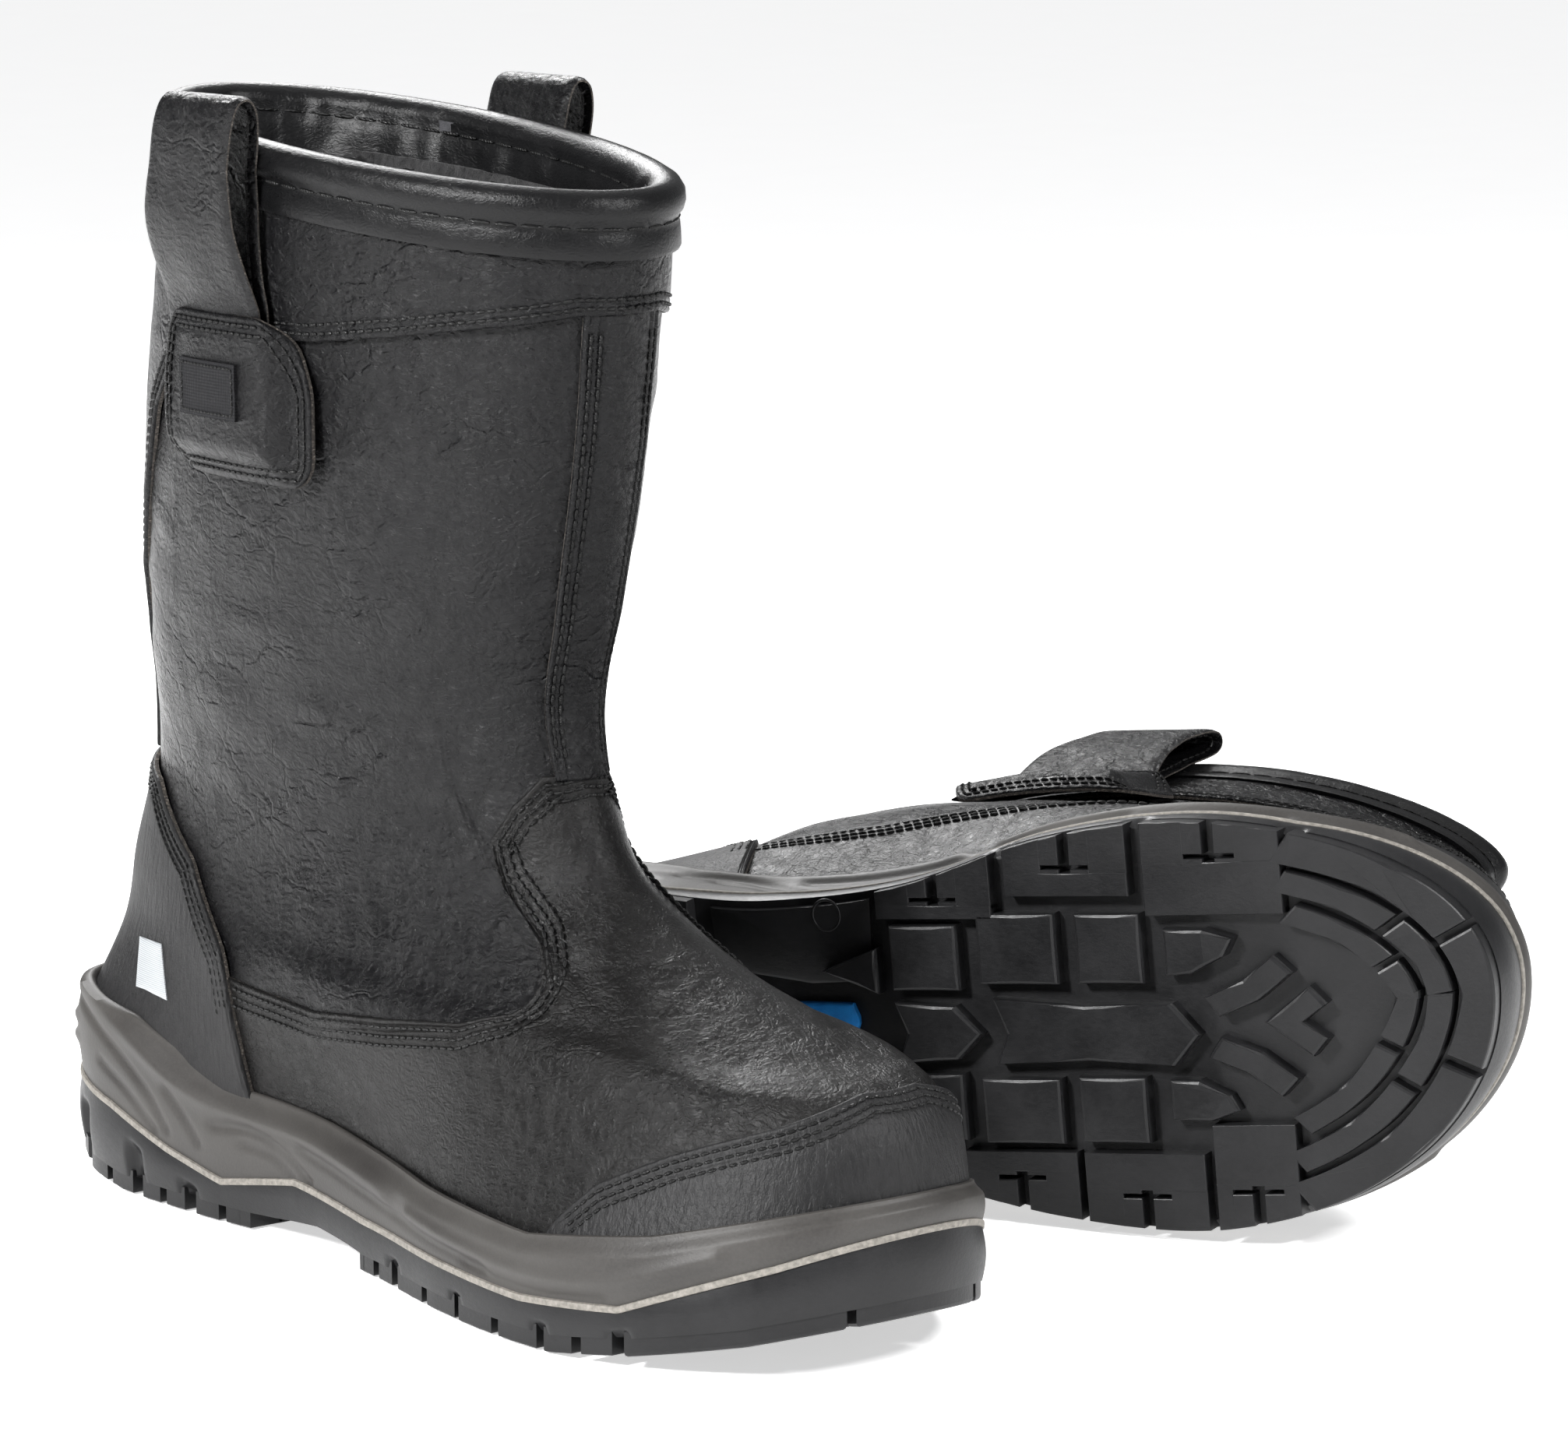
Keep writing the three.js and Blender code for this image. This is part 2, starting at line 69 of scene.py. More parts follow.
# Lines along the boot, as (y, height): the leather's foot, the midsole's foot, the tread's foot, the arch.
FEATHER = ([0, 45, 85, 130, 180, 230, 270, 311], [46, 42, 30.5, 28, 23.5, 21.5, 27, 37])
PARTING = ([0, 35, 62, 85, 115, 150, 230, 262, 296, 311], [27, 21, 14, 9.5, 14.5, 12, 10.5, 13, 26, 33])
GROUND = ([0, 22, 40, 240, 264, 290, 311], [9, 2, 0, 0, 3, 8, 14])
ARCH = ([96, 106, 126, 142, 150], [4.5, 4.9, 6.5, 5.4, 4.5])
LUG = 4.5  # tread depth
# One row a level: back y, z, front y, z, outer half width back, front, inner back, front, fullness, front's shift.
RINGS = [
    [6.5, 66, 298, 60, 33, 47, 34, 50, 2.5, -8],
    [10.5, 86, 271, 69, 31, 36, 31, 39, 2.3, -7],
    [17, 106, 233, 83, 30, 28, 30, 30, 2.1, -5],
    [20, 126, 199, 104, 32, 26, 32, 28, 2, -3],
    [22, 148, 187, 137, 36, 31, 36, 32, 2, -1],
    [24.5, 176, 194.5, 168, 39, 37, 39, 37, 2, 0],
    [29, 212, 203, 206, 41.5, 40, 41.5, 40, 2, 0],
    [35.5, 250, 207.5, 238, 42, 42, 42, 42, 2, 0],
    [42.5, 289, 210.5, 271, 42, 41, 42, 41, 2, 0],
]
# How the left boot lies: an empty shaft sinks flat, then the whole boot is turned onto its outer side.
LIE_AT = np.array([-41.0, 48.0, 34.2035])
LIE_YAW, LIE_PITCH, LIE_ROLL = 0.42, 0.085, 0.01
SINK, FIRM, SAG = 0.5, 36.0, 8.0  # share of the width lost, the width that resists, and the sideways sag
SINK_FROM, SINK_FULL = 120, 250  # heights between which the shaft gives way

# Seams, each as (turn in degrees, level) for the outer side; the inner side mirrors them.
VAMP_TOP = ([62, 66, 80, 93, 105, 114, 125, 132, 133.5, 138, 148, 161, 180],
            [0.97, 0.96, 0.95, 1.1, 1.3, 1.75, 2.5, 3.1, 3.65, 4.1, 4.4, 4.65, 4.7])
TOE_TOP = ([121, 123, 128, 138, 155, 174, 186], [0.02, 0.2, 0.4, 0.6, 0.85, 1.2, 1.17])
COUNTER_TOP = ([0, 33, 52, 62, 64, 67], [3.35, 3.1, 2.35, 1.2, 0.7, 0.02])
BAND_LOW = ([88, 103, 137, 164, 180], [7.6, 7.65, 7.9, 8.05, 8.05])
STAY_LOW = ([0, 13, 16, 22, 32, 42, 49, 57, 65, 75, 88],
            [3.3, 3.3, 4.2, 5, 5.7, 6.3, 6.9, 7.2, 7.4, 7.55, 7.6])
COLLAR = 8.85  # level of the top edge, under the binding


def through(a, b, c, d, t):
    """The smooth curve that goes from b to c as t goes from 0 to 1, with neighbours a and d."""
    return b + 0.5 * t * (c - a + t * (2 * a - 5 * b + 4 * c - d + t * (3 * (b - c) + d - a)))


def smooth(values, at):
    """Evenly spaced values joined by a smooth curve and read at `at`."""
    values, at = np.asarray(values, float), np.asarray(at, float)
    wide = np.concatenate([[2 * values[0] - values[1]], values, [2 * values[-1] - values[-2]]])
    i = np.clip(np.floor(at).astype(int), 0, len(values) - 2)
    t = (at - i).reshape(at.shape + (1,) * (values.ndim - 1))
    return through(wide[i], wide[i + 1], wide[i + 2], wide[i + 3], t)


def step(x, low, high):
    """Eases from 0 at low to 1 at high."""
    t = np.clip((np.asarray(x, float) - low) / (high - low), 0, 1)
    return t * t * (3 - 2 * t)


def sole_edge(turn, inset=0.0):
    """x and y of the sole outline at a turn in degrees."""
    turn = np.asarray(turn, float) % 360
    outer = turn <= 180
    half = np.where(outer, turn, 360 - turn)
    along = 0.5 - 0.5 * np.cos(np.radians(half))
    trim = inset * np.sqrt(np.clip(np.sin(np.radians(half)), 0, 1))
    x = np.where(outer, smooth(OUTER, half / 15) - trim, smooth(INNER, half / 15) + trim)
    return x, inset + (SOLE_LENGTH - 2 * inset) * along


def edge_x(y, outer, inset=0.0):
    """Sideways place of the sole outline at one y."""
    along = np.clip((np.asarray(y, float) - inset) / (SOLE_LENGTH - 2 * inset), 0, 1)
    half = np.degrees(np.arccos(1 - 2 * along))
    return sole_edge(half if outer else 360 - half, inset)[0]


def surface(turn, level):
    """The leather's surface, as an array of points."""
    turn, level = np.broadcast_arrays(np.asarray(turn, float) % 360, np.asarray(level, float))
    x, y = sole_edge(turn, FEATHER_INSET)
    stack = [np.stack([x, y, np.interp(y, *FEATHER)], -1)]
    along = 0.5 - 0.5 * np.cos(np.radians(turn))
    sine = np.sin(np.radians(turn))
    for yb, zb, yf, zf, ob, of, ib, inf, full, shift in RINGS:
        width = np.where(turn <= 180, ob + (of - ob) * along, -(ib + (inf - ib) * along))
        x = shift * along**1.5 + width * np.abs(sine) ** (2 / full)
        stack.append(np.stack([x, yb + (yf - yb) * along, zb + (zf - zb) * along], -1))
    stack = [2 * stack[0] - stack[1], *stack, 2 * stack[-1] - stack[-2]]
    rings = np.stack(stack)
    i = np.clip(np.floor(level).astype(int), 0, len(RINGS) - 1)
    t = (level - i)[..., None]
    return through(*(np.take_along_axis(rings, (i + k)[None, ..., None], 0)[0] for k in range(4)), t)


def skin(turn, level, offset=0.0):
    """The surface moved outward by offset; the move is level with the floor at the sole edge."""
    turn, level, offset = np.broadcast_arrays(*(np.asarray(v, float) for v in (turn, level, offset)))
    out = np.cross(surface(turn + 1, level) - surface(turn - 1, level),
                   surface(turn, level + 0.02) - surface(turn, level - 0.02))
    out /= np.linalg.norm(out, axis=-1, keepdims=True)
    out[..., 2] *= np.clip(level / 0.6, 0, 1)
    out /= np.linalg.norm(out, axis=-1, keepdims=True)
    return surface(turn, level) + out * offset[..., None]


def noise(points, size, seed=0):
    """Smooth random values from -1 to 1 with features about `size` across."""
    p = np.asarray(points, float) / size + seed * 17.31
    cell = np.floor(p).astype(np.int64)
    f = p - cell
    f = f * f * (3 - 2 * f)
    total = 0.0
    for dx in (0, 1):
        for dy in (0, 1):
            for dz in (0, 1):
                x, y, z = (cell[..., k] + d for k, d in enumerate((dx, dy, dz)))
                key = x * 73856093 ^ y * 19349663 ^ z * 83492791
                key = (key ^ (key >> 13)) * 1274126177 & 0x7FFFFFFF
                weight = abs(1 - dx - f[..., 0]) * abs(1 - dy - f[..., 1]) * abs(1 - dz - f[..., 2])
                total = total + weight * ((key >> 7) % 4096 / 2047.5 - 1)
    return total


def turned(angle, axis):
    return np.array(Matrix.Rotation(angle, 3, axis))


LIE_TURN = turned(LIE_YAW, "Z") @ turned(LIE_PITCH, "X") @ turned(-math.pi / 2 + LIE_ROLL, "Y")
SHIFT = np.array(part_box("right_waist_bar")[0]) * 1000 - BAR_CORNER  # boot frame to row frame


class Boot:
    """One boot of the pair: its name, its body and how its points reach the row frame."""

    def __init__(self, side):
        self.side = side
        self.body = side + "_boot"
        self.fallen = side == "left"

    def place(self, points):
        """Boot millimetres to row-frame metres."""
        p = np.array(points, float)
        if self.fallen:
            t = step(p[..., 2], SINK_FROM, SINK_FULL)
            x = p[..., 0] - SINK * t * FIRM * np.tanh(p[..., 0] / FIRM) + SAG * t
            centre = 100 + 0.12 * (p[..., 2] - SINK_FROM)
            y = centre + (p[..., 1] - centre) * (1 + 0.08 * t)
            p = np.stack([-x, y, p[..., 2]], -1) @ LIE_TURN.T + LIE_AT
        return (p + SHIFT) / 1000


# ---------------------------------------------------------------- mesh helpers
def make(boot, name, points, faces, materials, body=None, kinds=None, flat=False):
    """A closed, smooth-shaded mesh from boot-frame points; kinds gives each face's material."""
    mesh = bpy.data.meshes.new(name)
    mesh.from_pydata(boot.place(np.asarray(points).reshape(-1, 3)).tolist(), [], faces)
    materials = materials if isinstance(materials, (list, tuple)) else [materials]
    for m in materials:
        mesh.materials.append(m)
    if kinds is not None:
        mesh.polygons.foreach_set("material_index", np.asarray(kinds, np.int32))
    work = bmesh.new()
    work.from_mesh(mesh)
    bmesh.ops.remove_doubles(work, verts=work.verts, dist=2e-6)
    bmesh.ops.recalc_face_normals(work, faces=work.faces)
    for face in work.faces:
        face.smooth = not flat
    for edge in work.edges:
        if len(edge.link_faces) == 2 and edge.calc_face_angle(0) > 0.9:
            edge.smooth = False
    work.to_mesh(mesh)
    work.free()
    obj = bpy.data.objects.new(name, mesh)
    bpy.context.scene.collection.objects.link(obj)
    if body != "later":
        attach(obj, body or boot.body)
    return obj


def grid_faces(rows, columns, start=0, closed_rows=False, closed_columns=False):
    """Quads of a grid of points stored row by row."""
    faces = []
    for r in range(rows if closed_rows else rows - 1):
        for c in range(columns if closed_columns else columns - 1):
            r2, c2 = (r + 1) % rows, (c + 1) % columns
            faces.append((start + r * columns + c, start + r * columns + c2, start + r2 * columns + c2,
                          start + r2 * columns + c))
    return faces


def shell(boot, name, face, back, materials, rim_kind=0):
    """A closed sheet between two grids of points; its cut edge takes the material at index rim_kind."""
    rows, columns = face.shape[:2]
    half = rows * columns
    faces = grid_faces(rows, columns)
    faces += [tuple(v + half for v in f[::-1]) for f in faces]
    rim = []
    for c in range(columns - 1):
        t = half - columns + c
        rim += [(c, c + 1, c + 1 + half, c + half), (t + 1, t, t + half, t + 1 + half)]
    for r in range(rows - 1):
        a, e = r * columns, r * columns + columns - 1
        rim += [(a + columns, a, a + half, a + columns + half),
                (e, e + columns, e + columns + half, e + half)]
    points = np.concatenate([face.reshape(-1, 3), back.reshape(-1, 3)])
    return make(boot, name, points, faces + rim, materials, kinds=[0] * len(faces) + [rim_kind] * len(rim))


ROUND = 0.9  # radius of a leather edge
# Distances of a panel's rows from a stitched edge, and from a plain one.
FINE = [0, 0.12, 0.4, 0.9, 1.5, 2.1, 2.7, 3.3, 3.9, 4.5, 5.1, 5.7, 6.3, 7.1, 8, 9.2]
COARSE = [0, 0.12, 0.4, 0.9, 2]
GROOVE = 0.35  # how deep stitching pulls the leather down


def rows_between(low, high, low_marks, high_marks, middle, speed):
    """Levels of every row, and each row's distance in millimetres from the low and the high edge."""
    height = (high - low) * speed
    fit = np.minimum(1, 0.92 * height / (low_marks[-1] + high_marks[-1]))
    rows = [low + m * fit / speed for m in low_marks]
    top = [high - m * fit / speed for m in high_marks][::-1]
    for k in range(1, middle):
        rows.append(rows[len(low_marks) - 1] * (1 - k / middle) + top[0] * k / middle)
    rows = np.stack(rows + top)
    return rows, (rows - low) * speed, (high - rows) * speed


def edge_drop(distance):
    """How far a rounded edge falls away at a distance from it."""
    return ROUND * (1 - np.sqrt(np.clip(1 - (1 - np.clip(distance / ROUND, 0, 1)) ** 2, 0, 1)))


def panel(boot, name, turns, low, high, inside, outside, materials, low_rows=COARSE, high_rows=COARSE,
          middle=20, stitched=(), relief=None, lift=None, round_ends=True):
    """A leather panel between two seams, as a closed body with rounded edges. stitched lists (edge, distances)
    whose threads pull a groove, relief(points, turns, levels) adds height, and lift(levels, d_low, d_high) raises
    an edge."""
    turns = np.asarray(turns, float)
    low, high = np.broadcast_to(low, turns.shape), np.broadcast_to(high, turns.shape)
    middle_level = (low + high) / 2
    rise = surface(turns, middle_level + 0.05) - surface(turns, middle_level - 0.05)
    speed = np.linalg.norm(rise, axis=-1) / 0.1  # millimetres per level
    levels, d_low, d_high = rows_between(low, high, low_rows, high_rows, middle, speed)
    across = np.broadcast_to(turns, levels.shape)
    drop = np.maximum(edge_drop(d_low), edge_drop(d_high))
    if round_ends:
        reach = np.linalg.norm(surface(turns, middle_level) - surface(turns[:1], middle_level), axis=-1)
        back = np.linalg.norm(surface(turns, middle_level) - surface(turns[-1:], middle_level), axis=-1)
        drop = np.maximum(drop, edge_drop(np.minimum(reach, back))[None, :])
    offset = outside - drop
    if lift:
        offset = offset + lift(levels, d_low, d_high)
    for edge, distances in stitched:
        d = d_high if edge == "high" else d_low
        for place in distances:
            offset = offset - GROOVE * np.exp(-(((d - place) / 0.55) ** 2))
    if relief:
        calm = np.clip(np.minimum(d_low, d_high) / 3, 0, 1)
        offset = offset + calm * relief(skin(across, levels), across, levels)
    return shell(boot, name, skin(across, levels, offset), skin(across, levels, inside), materials, 1)


def seam_turns(low, high, pitch=1.0, ends=0.15):
    """Evenly spaced turns with close ones at both ends so that the edge there is round."""
    inner = np.linspace(low + 4 * ends, high - 4 * ends, int((high - low) / pitch))
    return np.concatenate([[low, low + ends, low + 2 * ends], inner, [high - 2 * ends, high - ends, high]])


def both(seam):
    """A seam given for the outer side, as a function of any turn."""
    return lambda turn: np.interp(180 - np.abs(np.asarray(turn, float) % 360 - 180), *seam)


def resample(points, pitch):
    """Points at even spacing along a line, with the directions there."""
    points = np.asarray(points, float)
    length = np.concatenate([[0], np.cumsum(np.linalg.norm(np.diff(points, axis=0), axis=1))])
    stations = np.arange(pitch / 2, length[-1], pitch)
    at = lambda s: np.stack([np.interp(s, length, points[:, k]) for k in range(3)], -1)
    return at(stations - pitch * 0.41), at(stations), at(stations + pitch * 0.41)


STITCH = 2.7  # one stitch and its gap
THREAD = 0.42  # thread radius


def stitches(boot, name, lines, material, pitch=STITCH, radius=THREAD, body=None):
    """Rows of separate stitches, each a short humped thread that dives into the leather at both ends."""
    sides = 6
    points, faces = [], []
    ring = np.linspace(0, 2 * math.pi, sides, endpoint=False)
    for line in lines:
        for a, m, b in zip(*resample(line, pitch)):
            if not np.isfinite(a + b).all():
                continue
            along = (b - a) / max(np.linalg.norm(b - a), 1e-9)
            side = np.cross(along, [0.3, 0.2, 1.0])
            side /= np.linalg.norm(side)
            up = np.cross(side, along)
            start = len(points)
            for f, r in ((0, 0.45), (0.18, 0.95), (0.5, 1.1), (0.82, 0.95), (1, 0.45)):
                centre = (1 - f) ** 2 * a + 2 * f * (1 - f) * m + f * f * b
                points += [centre + radius * r * (math.cos(w) * side + math.sin(w) * up) for w in ring]
            faces += grid_faces(5, sides, start, closed_columns=True)
            last = start + 4 * sides
            faces += [tuple(range(start, start + sides)), tuple(reversed(range(last, last + sides)))]
    return make(boot, name, points, faces, material, body=body)


def on_skin(turns, level, target, offset):
    """The points of the skin, at an offset, that lie nearest to a target a few millimetres away."""
    turns, level = np.array(turns, float), np.array(level, float)
    for _ in range(5):
        gap = target - surface(turns, level)
        along = surface(turns + 0.5, level) - surface(turns - 0.5, level)
        up = (surface(turns, level + 0.01) - surface(turns, level - 0.01)) / 0.02
        along_along, along_up, up_up = (along * along).sum(-1), (along * up).sum(-1), (up * up).sum(-1)
        gap_along, gap_up = (gap * along).sum(-1), (gap * up).sum(-1)
        area = along_along * up_up - along_up * along_up
        turns += (gap_along * up_up - gap_up * along_up) / area
        level += (gap_up * along_along - gap_along * along_up) / area
    return skin(turns, level, offset)


def seam_line(turns, level, away, offset, upward=True):
    """A line that keeps a distance in millimetres from a seam, on the skin at an offset."""
    turns = np.asarray(turns, float)
    here = surface(turns, level)
    tangent = np.gradient(here, axis=0)
    tangent /= np.linalg.norm(tangent, axis=-1, keepdims=True)
    out = skin(turns, level, 1.0) - here
    inward = np.cross(out, tangent)
    if (inward[len(inward) // 2, 2] > 0) != upward:
        inward = -inward
    return on_skin(turns, level, here + inward * away, offset)


def sweep(boot, name, rings, materials, closed=True, body=None, kinds=None):
    """A closed tube of rings of points; open runs get caps."""
    rings = np.asarray(rings, float)
    count, size = rings.shape[:2]
    faces = grid_faces(count, size, closed_rows=closed, closed_columns=True)
    if kinds is not None:
        kinds = [kinds[i % size] for i in range(len(faces))]
    if not closed:
        faces += [tuple(range(size)), tuple((count - 1) * size + k for k in reversed(range(size)))]
        kinds = None if kinds is None else kinds + [kinds[0], kinds[0]]
    return make(boot, name, rings, faces, materials, body=body, kinds=kinds)


# ---------------------------------------------------------------- materials
class Paint:
    """A procedural material whose texture runs in millimetres of object space."""

    def __init__(self, name):
        self.material = bpy.data.materials.new(name)
        self.material.use_nodes = True
        self.nodes, self.links = self.material.node_tree.nodes, self.material.node_tree.links
        self.shader = self.nodes["Principled BSDF"]
        self.space = self.add("ShaderNodeTexCoord").outputs["Object"]

    def add(self, kind, links=(), **values):
        node = self.nodes.new(kind)
        for key, value in values.items():
            setattr(node, key, value)
        for socket, source in links:
            if isinstance(source, (int, float, tuple)):
                node.inputs[socket].default_value = source
            else:
                self.links.new(source, node.inputs[socket])
        return node

    def stretch(self, x, y, z):
        return self.add("ShaderNodeMapping", [("Vector", self.space), ("Scale", (x, y, z))]).outputs[0]

    def grain(self, size, detail=4.0, rough=0.55, space=None, twist=0.0):
        links = [("Vector", space or self.space), ("Scale", 1000 / size), ("Detail", detail),
                 ("Roughness", rough),
                 ("Distortion", twist)]
        return self.add("ShaderNodeTexNoise", links).outputs["Fac"]

    def cells(self, size, feature="F1", space=None):
        links = [("Vector", space or self.space), ("Scale", 1000 / size)]
        return self.add("ShaderNodeTexVoronoi", links, feature=feature).outputs["Distance"]

    def ramp(self, value, stops):
        ramp = self.add("ShaderNodeValToRGB", [("Fac", value)])
        ramp.color_ramp.elements[0].position, ramp.color_ramp.elements[1].position = stops[0][0], stops[-1][0]
        for place, colour in stops[1:-1]:
            ramp.color_ramp.elements.new(place)
        for element, (place, colour) in zip(ramp.color_ramp.elements, stops):
            element.color = (*colour, 1) if isinstance(colour, tuple) else (colour, colour, colour, 1)
        return ramp.outputs["Color"]

    def sums(self, *pairs):
        """Weighted sum of values."""
        total = None
        for value, weight in pairs:
            part = self.add("ShaderNodeMath", [(0, value), (1, weight)], operation="MULTIPLY").outputs[0]
            total = part if total is None else self.add("ShaderNodeMath", [(0, total), (1, part)]).outputs[0]
        return total

    def finish(self, colour, rough, height=None, depth=0.0, **values):
        """Links the shader; depth is the bump's height in millimetres."""
        self.links.new(colour, self.shader.inputs["Base Color"])
        self.links.new(rough, self.shader.inputs["Roughness"])
        if height is not None:
            bump = self.add("ShaderNodeBump",
                            [("Height", height), ("Distance", depth / 1000), ("Strength", 1.0)])
            self.links.new(bump.outputs[0], self.shader.inputs["Normal"])
        for key, value in values.items():
            self.shader.inputs[key.replace("_", " ")].default_value = value
        return self.material


def leather(name, dark, light, grain=1.6, depth=0.7, gloss=0.17, crease=1.8):
    """Grained full leather with a web of fine creases; waxed, so its grain sparkles where light catches it."""
    p = Paint(name)
    drift = p.add("ShaderNodeTexNoise",
                  [("Vector", p.space), ("Scale", 150.0), ("Detail", 3.0)]).outputs["Color"]
    wander = p.add("ShaderNodeVectorMath", [(0, drift), (1, (0.007, 0.007, 0.007))],
                   operation="MULTIPLY").outputs[0]
    bent = p.add("ShaderNodeVectorMath", [(0, p.stretch(1, 0.7, 1.35)), (1, wander)]).outputs[0]
    pebble = p.cells(grain, "SMOOTH_F1", bent)
    fine = p.grain(grain * 0.45, 5, 0.65, bent)
    web = p.ramp(p.cells(grain * 4.6, "DISTANCE_TO_EDGE", bent), [(0.0, 0.0), (0.09, 1.0)])
    long_web = p.ramp(p.cells(grain * 13, "DISTANCE_TO_EDGE", bent), [(0.0, 0.0), (0.035, 1.0)])
    where = p.ramp(p.grain(34, 3), [(0.42, 0.0), (0.62, 1.0)])
    folds = p.grain(grain * 6, 5, 0.6, p.stretch(1, 0.5, 1.7), 0.6)
    patches = p.grain(38, 4)
    tone = p.sums((patches, 0.6), (fine, 0.4))
    between = tuple((a + b) / 2 for a, b in zip(dark, light))
    colour = p.ramp(tone, [(0.3, dark), (0.55, between), (0.75, light)])
    rough = p.ramp(p.sums((patches, 0.5), (pebble, 0.25), (fine, 0.35)), [(0.3, gloss), (0.75, gloss + 0.2)])
    creased = p.add("ShaderNodeMath", [(0, p.sums((web, 0.16), (long_web, 0.30))), (1, where)],
                    operation="MULTIPLY").outputs[0]
    height = p.sums((pebble, -0.5), (fine, 0.42), (creased, crease), (folds, 0.5))
    return p.finish(colour, rough, height, depth, Specular_IOR_Level=0.21)


def ribbed_leather(name):
    """Stiffer scuff leather whose fine grain runs in short upright lines."""
    p = Paint(name)
    upright = p.stretch(1.3, 1.1, 0.28)
    lines = p.grain(1.7, 4, 0.55, upright, 0.3)
    fine = p.grain(0.5, 3)
    patches = p.grain(30, 4)
    colour = p.ramp(p.sums((patches, 0.55), (lines, 0.45)),
                    [(0.32, (0.005, 0.005, 0.0055)), (0.72, (0.017, 0.0165, 0.017))])
    rough = p.ramp(p.sums((patches, 0.6), (fine, 0.4)), [(0.3, 0.42), (0.75, 0.62)])
    return p.finish(colour, rough, p.sums((lines, 1.0), (fine, 0.2)), 0.5, Specular_IOR_Level=0.3)


def raw_edge():
    """The cut edge of leather: dyed fibres, brown where the dye has not taken."""
    p = Paint("raw_edge")
    fibres = p.grain(0.8, 6, 0.7, p.stretch(1, 1, 2.5))
    colour = p.ramp(fibres,
                    [(0.38, (0.012, 0.010, 0.009)), (0.54, (0.045, 0.038, 0.032)),
                     (0.68, (0.24, 0.21, 0.18))])
    return p.finish(colour, p.ramp(fibres, [(0.3, 0.8), (0.7, 0.95)]), fibres, 0.4)


def thread_material():
    p = Paint("thread")
    strand = p.add("ShaderNodeTexWave", [("Vector", p.space), ("Scale", 900.0), ("Distortion", 3.0)],
                   bands_direction="DIAGONAL").outputs["Fac"]
    colour = p.ramp(strand, [(0.1, 0.002), (0.9, 0.010)])
    return p.finish(colour, p.ramp(strand, [(0, 0.36), (1, 0.55)]), strand, 0.12, Specular_IOR_Level=0.25)


def foam_rubber():
    """Moulded PU: warm grey skin with faint flow marks; painted shade darkens its hollows, and its ridges come out
    lighter.
    """
    p = Paint("pu_midsole")
    flow = p.grain(26, 4, 0.5, p.stretch(1, 0.5, 1))
    speck = p.grain(0.8, 3)
    # painted shade: the surface's curvature darkens the colour in hollows and lightens it on ridges
    painted_hollow_shade = p.add("ShaderNodeNewGeometry").outputs["Pointiness"]
    tone = p.sums((flow, 0.35), (speck, 0.15), (painted_hollow_shade, 1.0))
    colour = p.ramp(tone,
                    [(0.62, (0.020, 0.018, 0.017)), (0.75, (0.042, 0.039, 0.036)),
                     (0.92, (0.068, 0.064, 0.060))])
    rough = p.ramp(p.sums((flow, 0.7), (speck, 0.3)), [(0.3, 0.44), (0.7, 0.6)])
    return p.finish(colour, rough, p.sums((speck, 0.5), (flow, 0.8)), 0.12, Specular_IOR_Level=0.42)


def tread_rubber():
    """Black rubber with the faint bloom and scuffs of a new sole."""
    p = Paint("tread_rubber")
    bloom = p.grain(22, 5, 0.6)
    scuff = p.grain(1.1, 5, 0.7, p.stretch(1, 0.4, 1))
    colour = p.ramp(p.sums((bloom, 0.7), (scuff, 0.3)),
                    [(0.3, (0.005, 0.005, 0.0055)), (0.75, (0.016, 0.016, 0.017))])
    rough = p.ramp(p.sums((bloom, 0.6), (scuff, 0.4)), [(0.3, 0.30), (0.75, 0.5)])
    return p.finish(colour, rough, scuff, 0.08, Specular_IOR_Level=0.3)


def welt_material():
    p = Paint("parting_line")
    grit = p.grain(1.2, 4)
    colour = p.ramp(grit, [(0.3, (0.13, 0.12, 0.105)), (0.75, (0.30, 0.28, 0.25))])
    return p.finish(colour, p.ramp(grit, [(0.3, 0.6), (0.7, 0.8)]), grit, 0.1)


def fleece_material():
    p = Paint("fleece")
    curls = p.grain(2.6, 6, 0.72, None, 1.2)
    tufts = p.cells(2.2, "SMOOTH_F1")
    colour = p.ramp(p.sums((curls, 0.6), (tufts, 0.4)),
                    [(0.25, (0.004, 0.004, 0.005)), (0.75, (0.022, 0.021, 0.022))])
    return p.finish(colour, p.ramp(curls, [(0.3, 0.85), (0.7, 1.0)]), p.sums((curls, 1.0), (tufts, 0.7)), 1.6,
                    Sheen_Weight=0.12, Sheen_Roughness=0.6)


def woven(name, dark, light, size=0.7, depth=0.2, rough=0.75, **values):
    """A plain weave of two crossing thread sets."""
    p = Paint(name)
    warp = p.add("ShaderNodeTexWave", [("Vector", p.space), ("Scale", 330 / size), ("Distortion", 0.4)],
                 bands_direction="Y").outputs["Fac"]
    weft = p.add("ShaderNodeTexWave", [("Vector", p.space), ("Scale", 330 / size), ("Distortion", 0.4)],
                 bands_direction="Z").outputs["Fac"]
    weave = p.sums((warp, 0.5), (weft, 0.5))
    fuzz = p.grain(0.9, 4)
    colour = p.ramp(p.sums((weave, 0.7), (fuzz, 0.3)), [(0.25, dark), (0.75, light)])
    return p.finish(colour, p.ramp(fuzz, [(0.3, rough - 0.1), (0.7, rough + 0.1)]), weave, depth, **values)


def plain(name, dark, light, rough, size=6.0, depth=0.08, **values):
    """Moulded, drawn or cast stock with a faint mottle."""
    p = Paint(name)
    mottle, fine = p.grain(size, 5), p.grain(size / 8, 3)
    colour = p.ramp(mottle, [(0.3, dark), (0.72, light)])
    return p.finish(colour, p.ramp(fine, [(0.3, rough - 0.06), (0.7, rough + 0.08)]), fine, depth, **values)


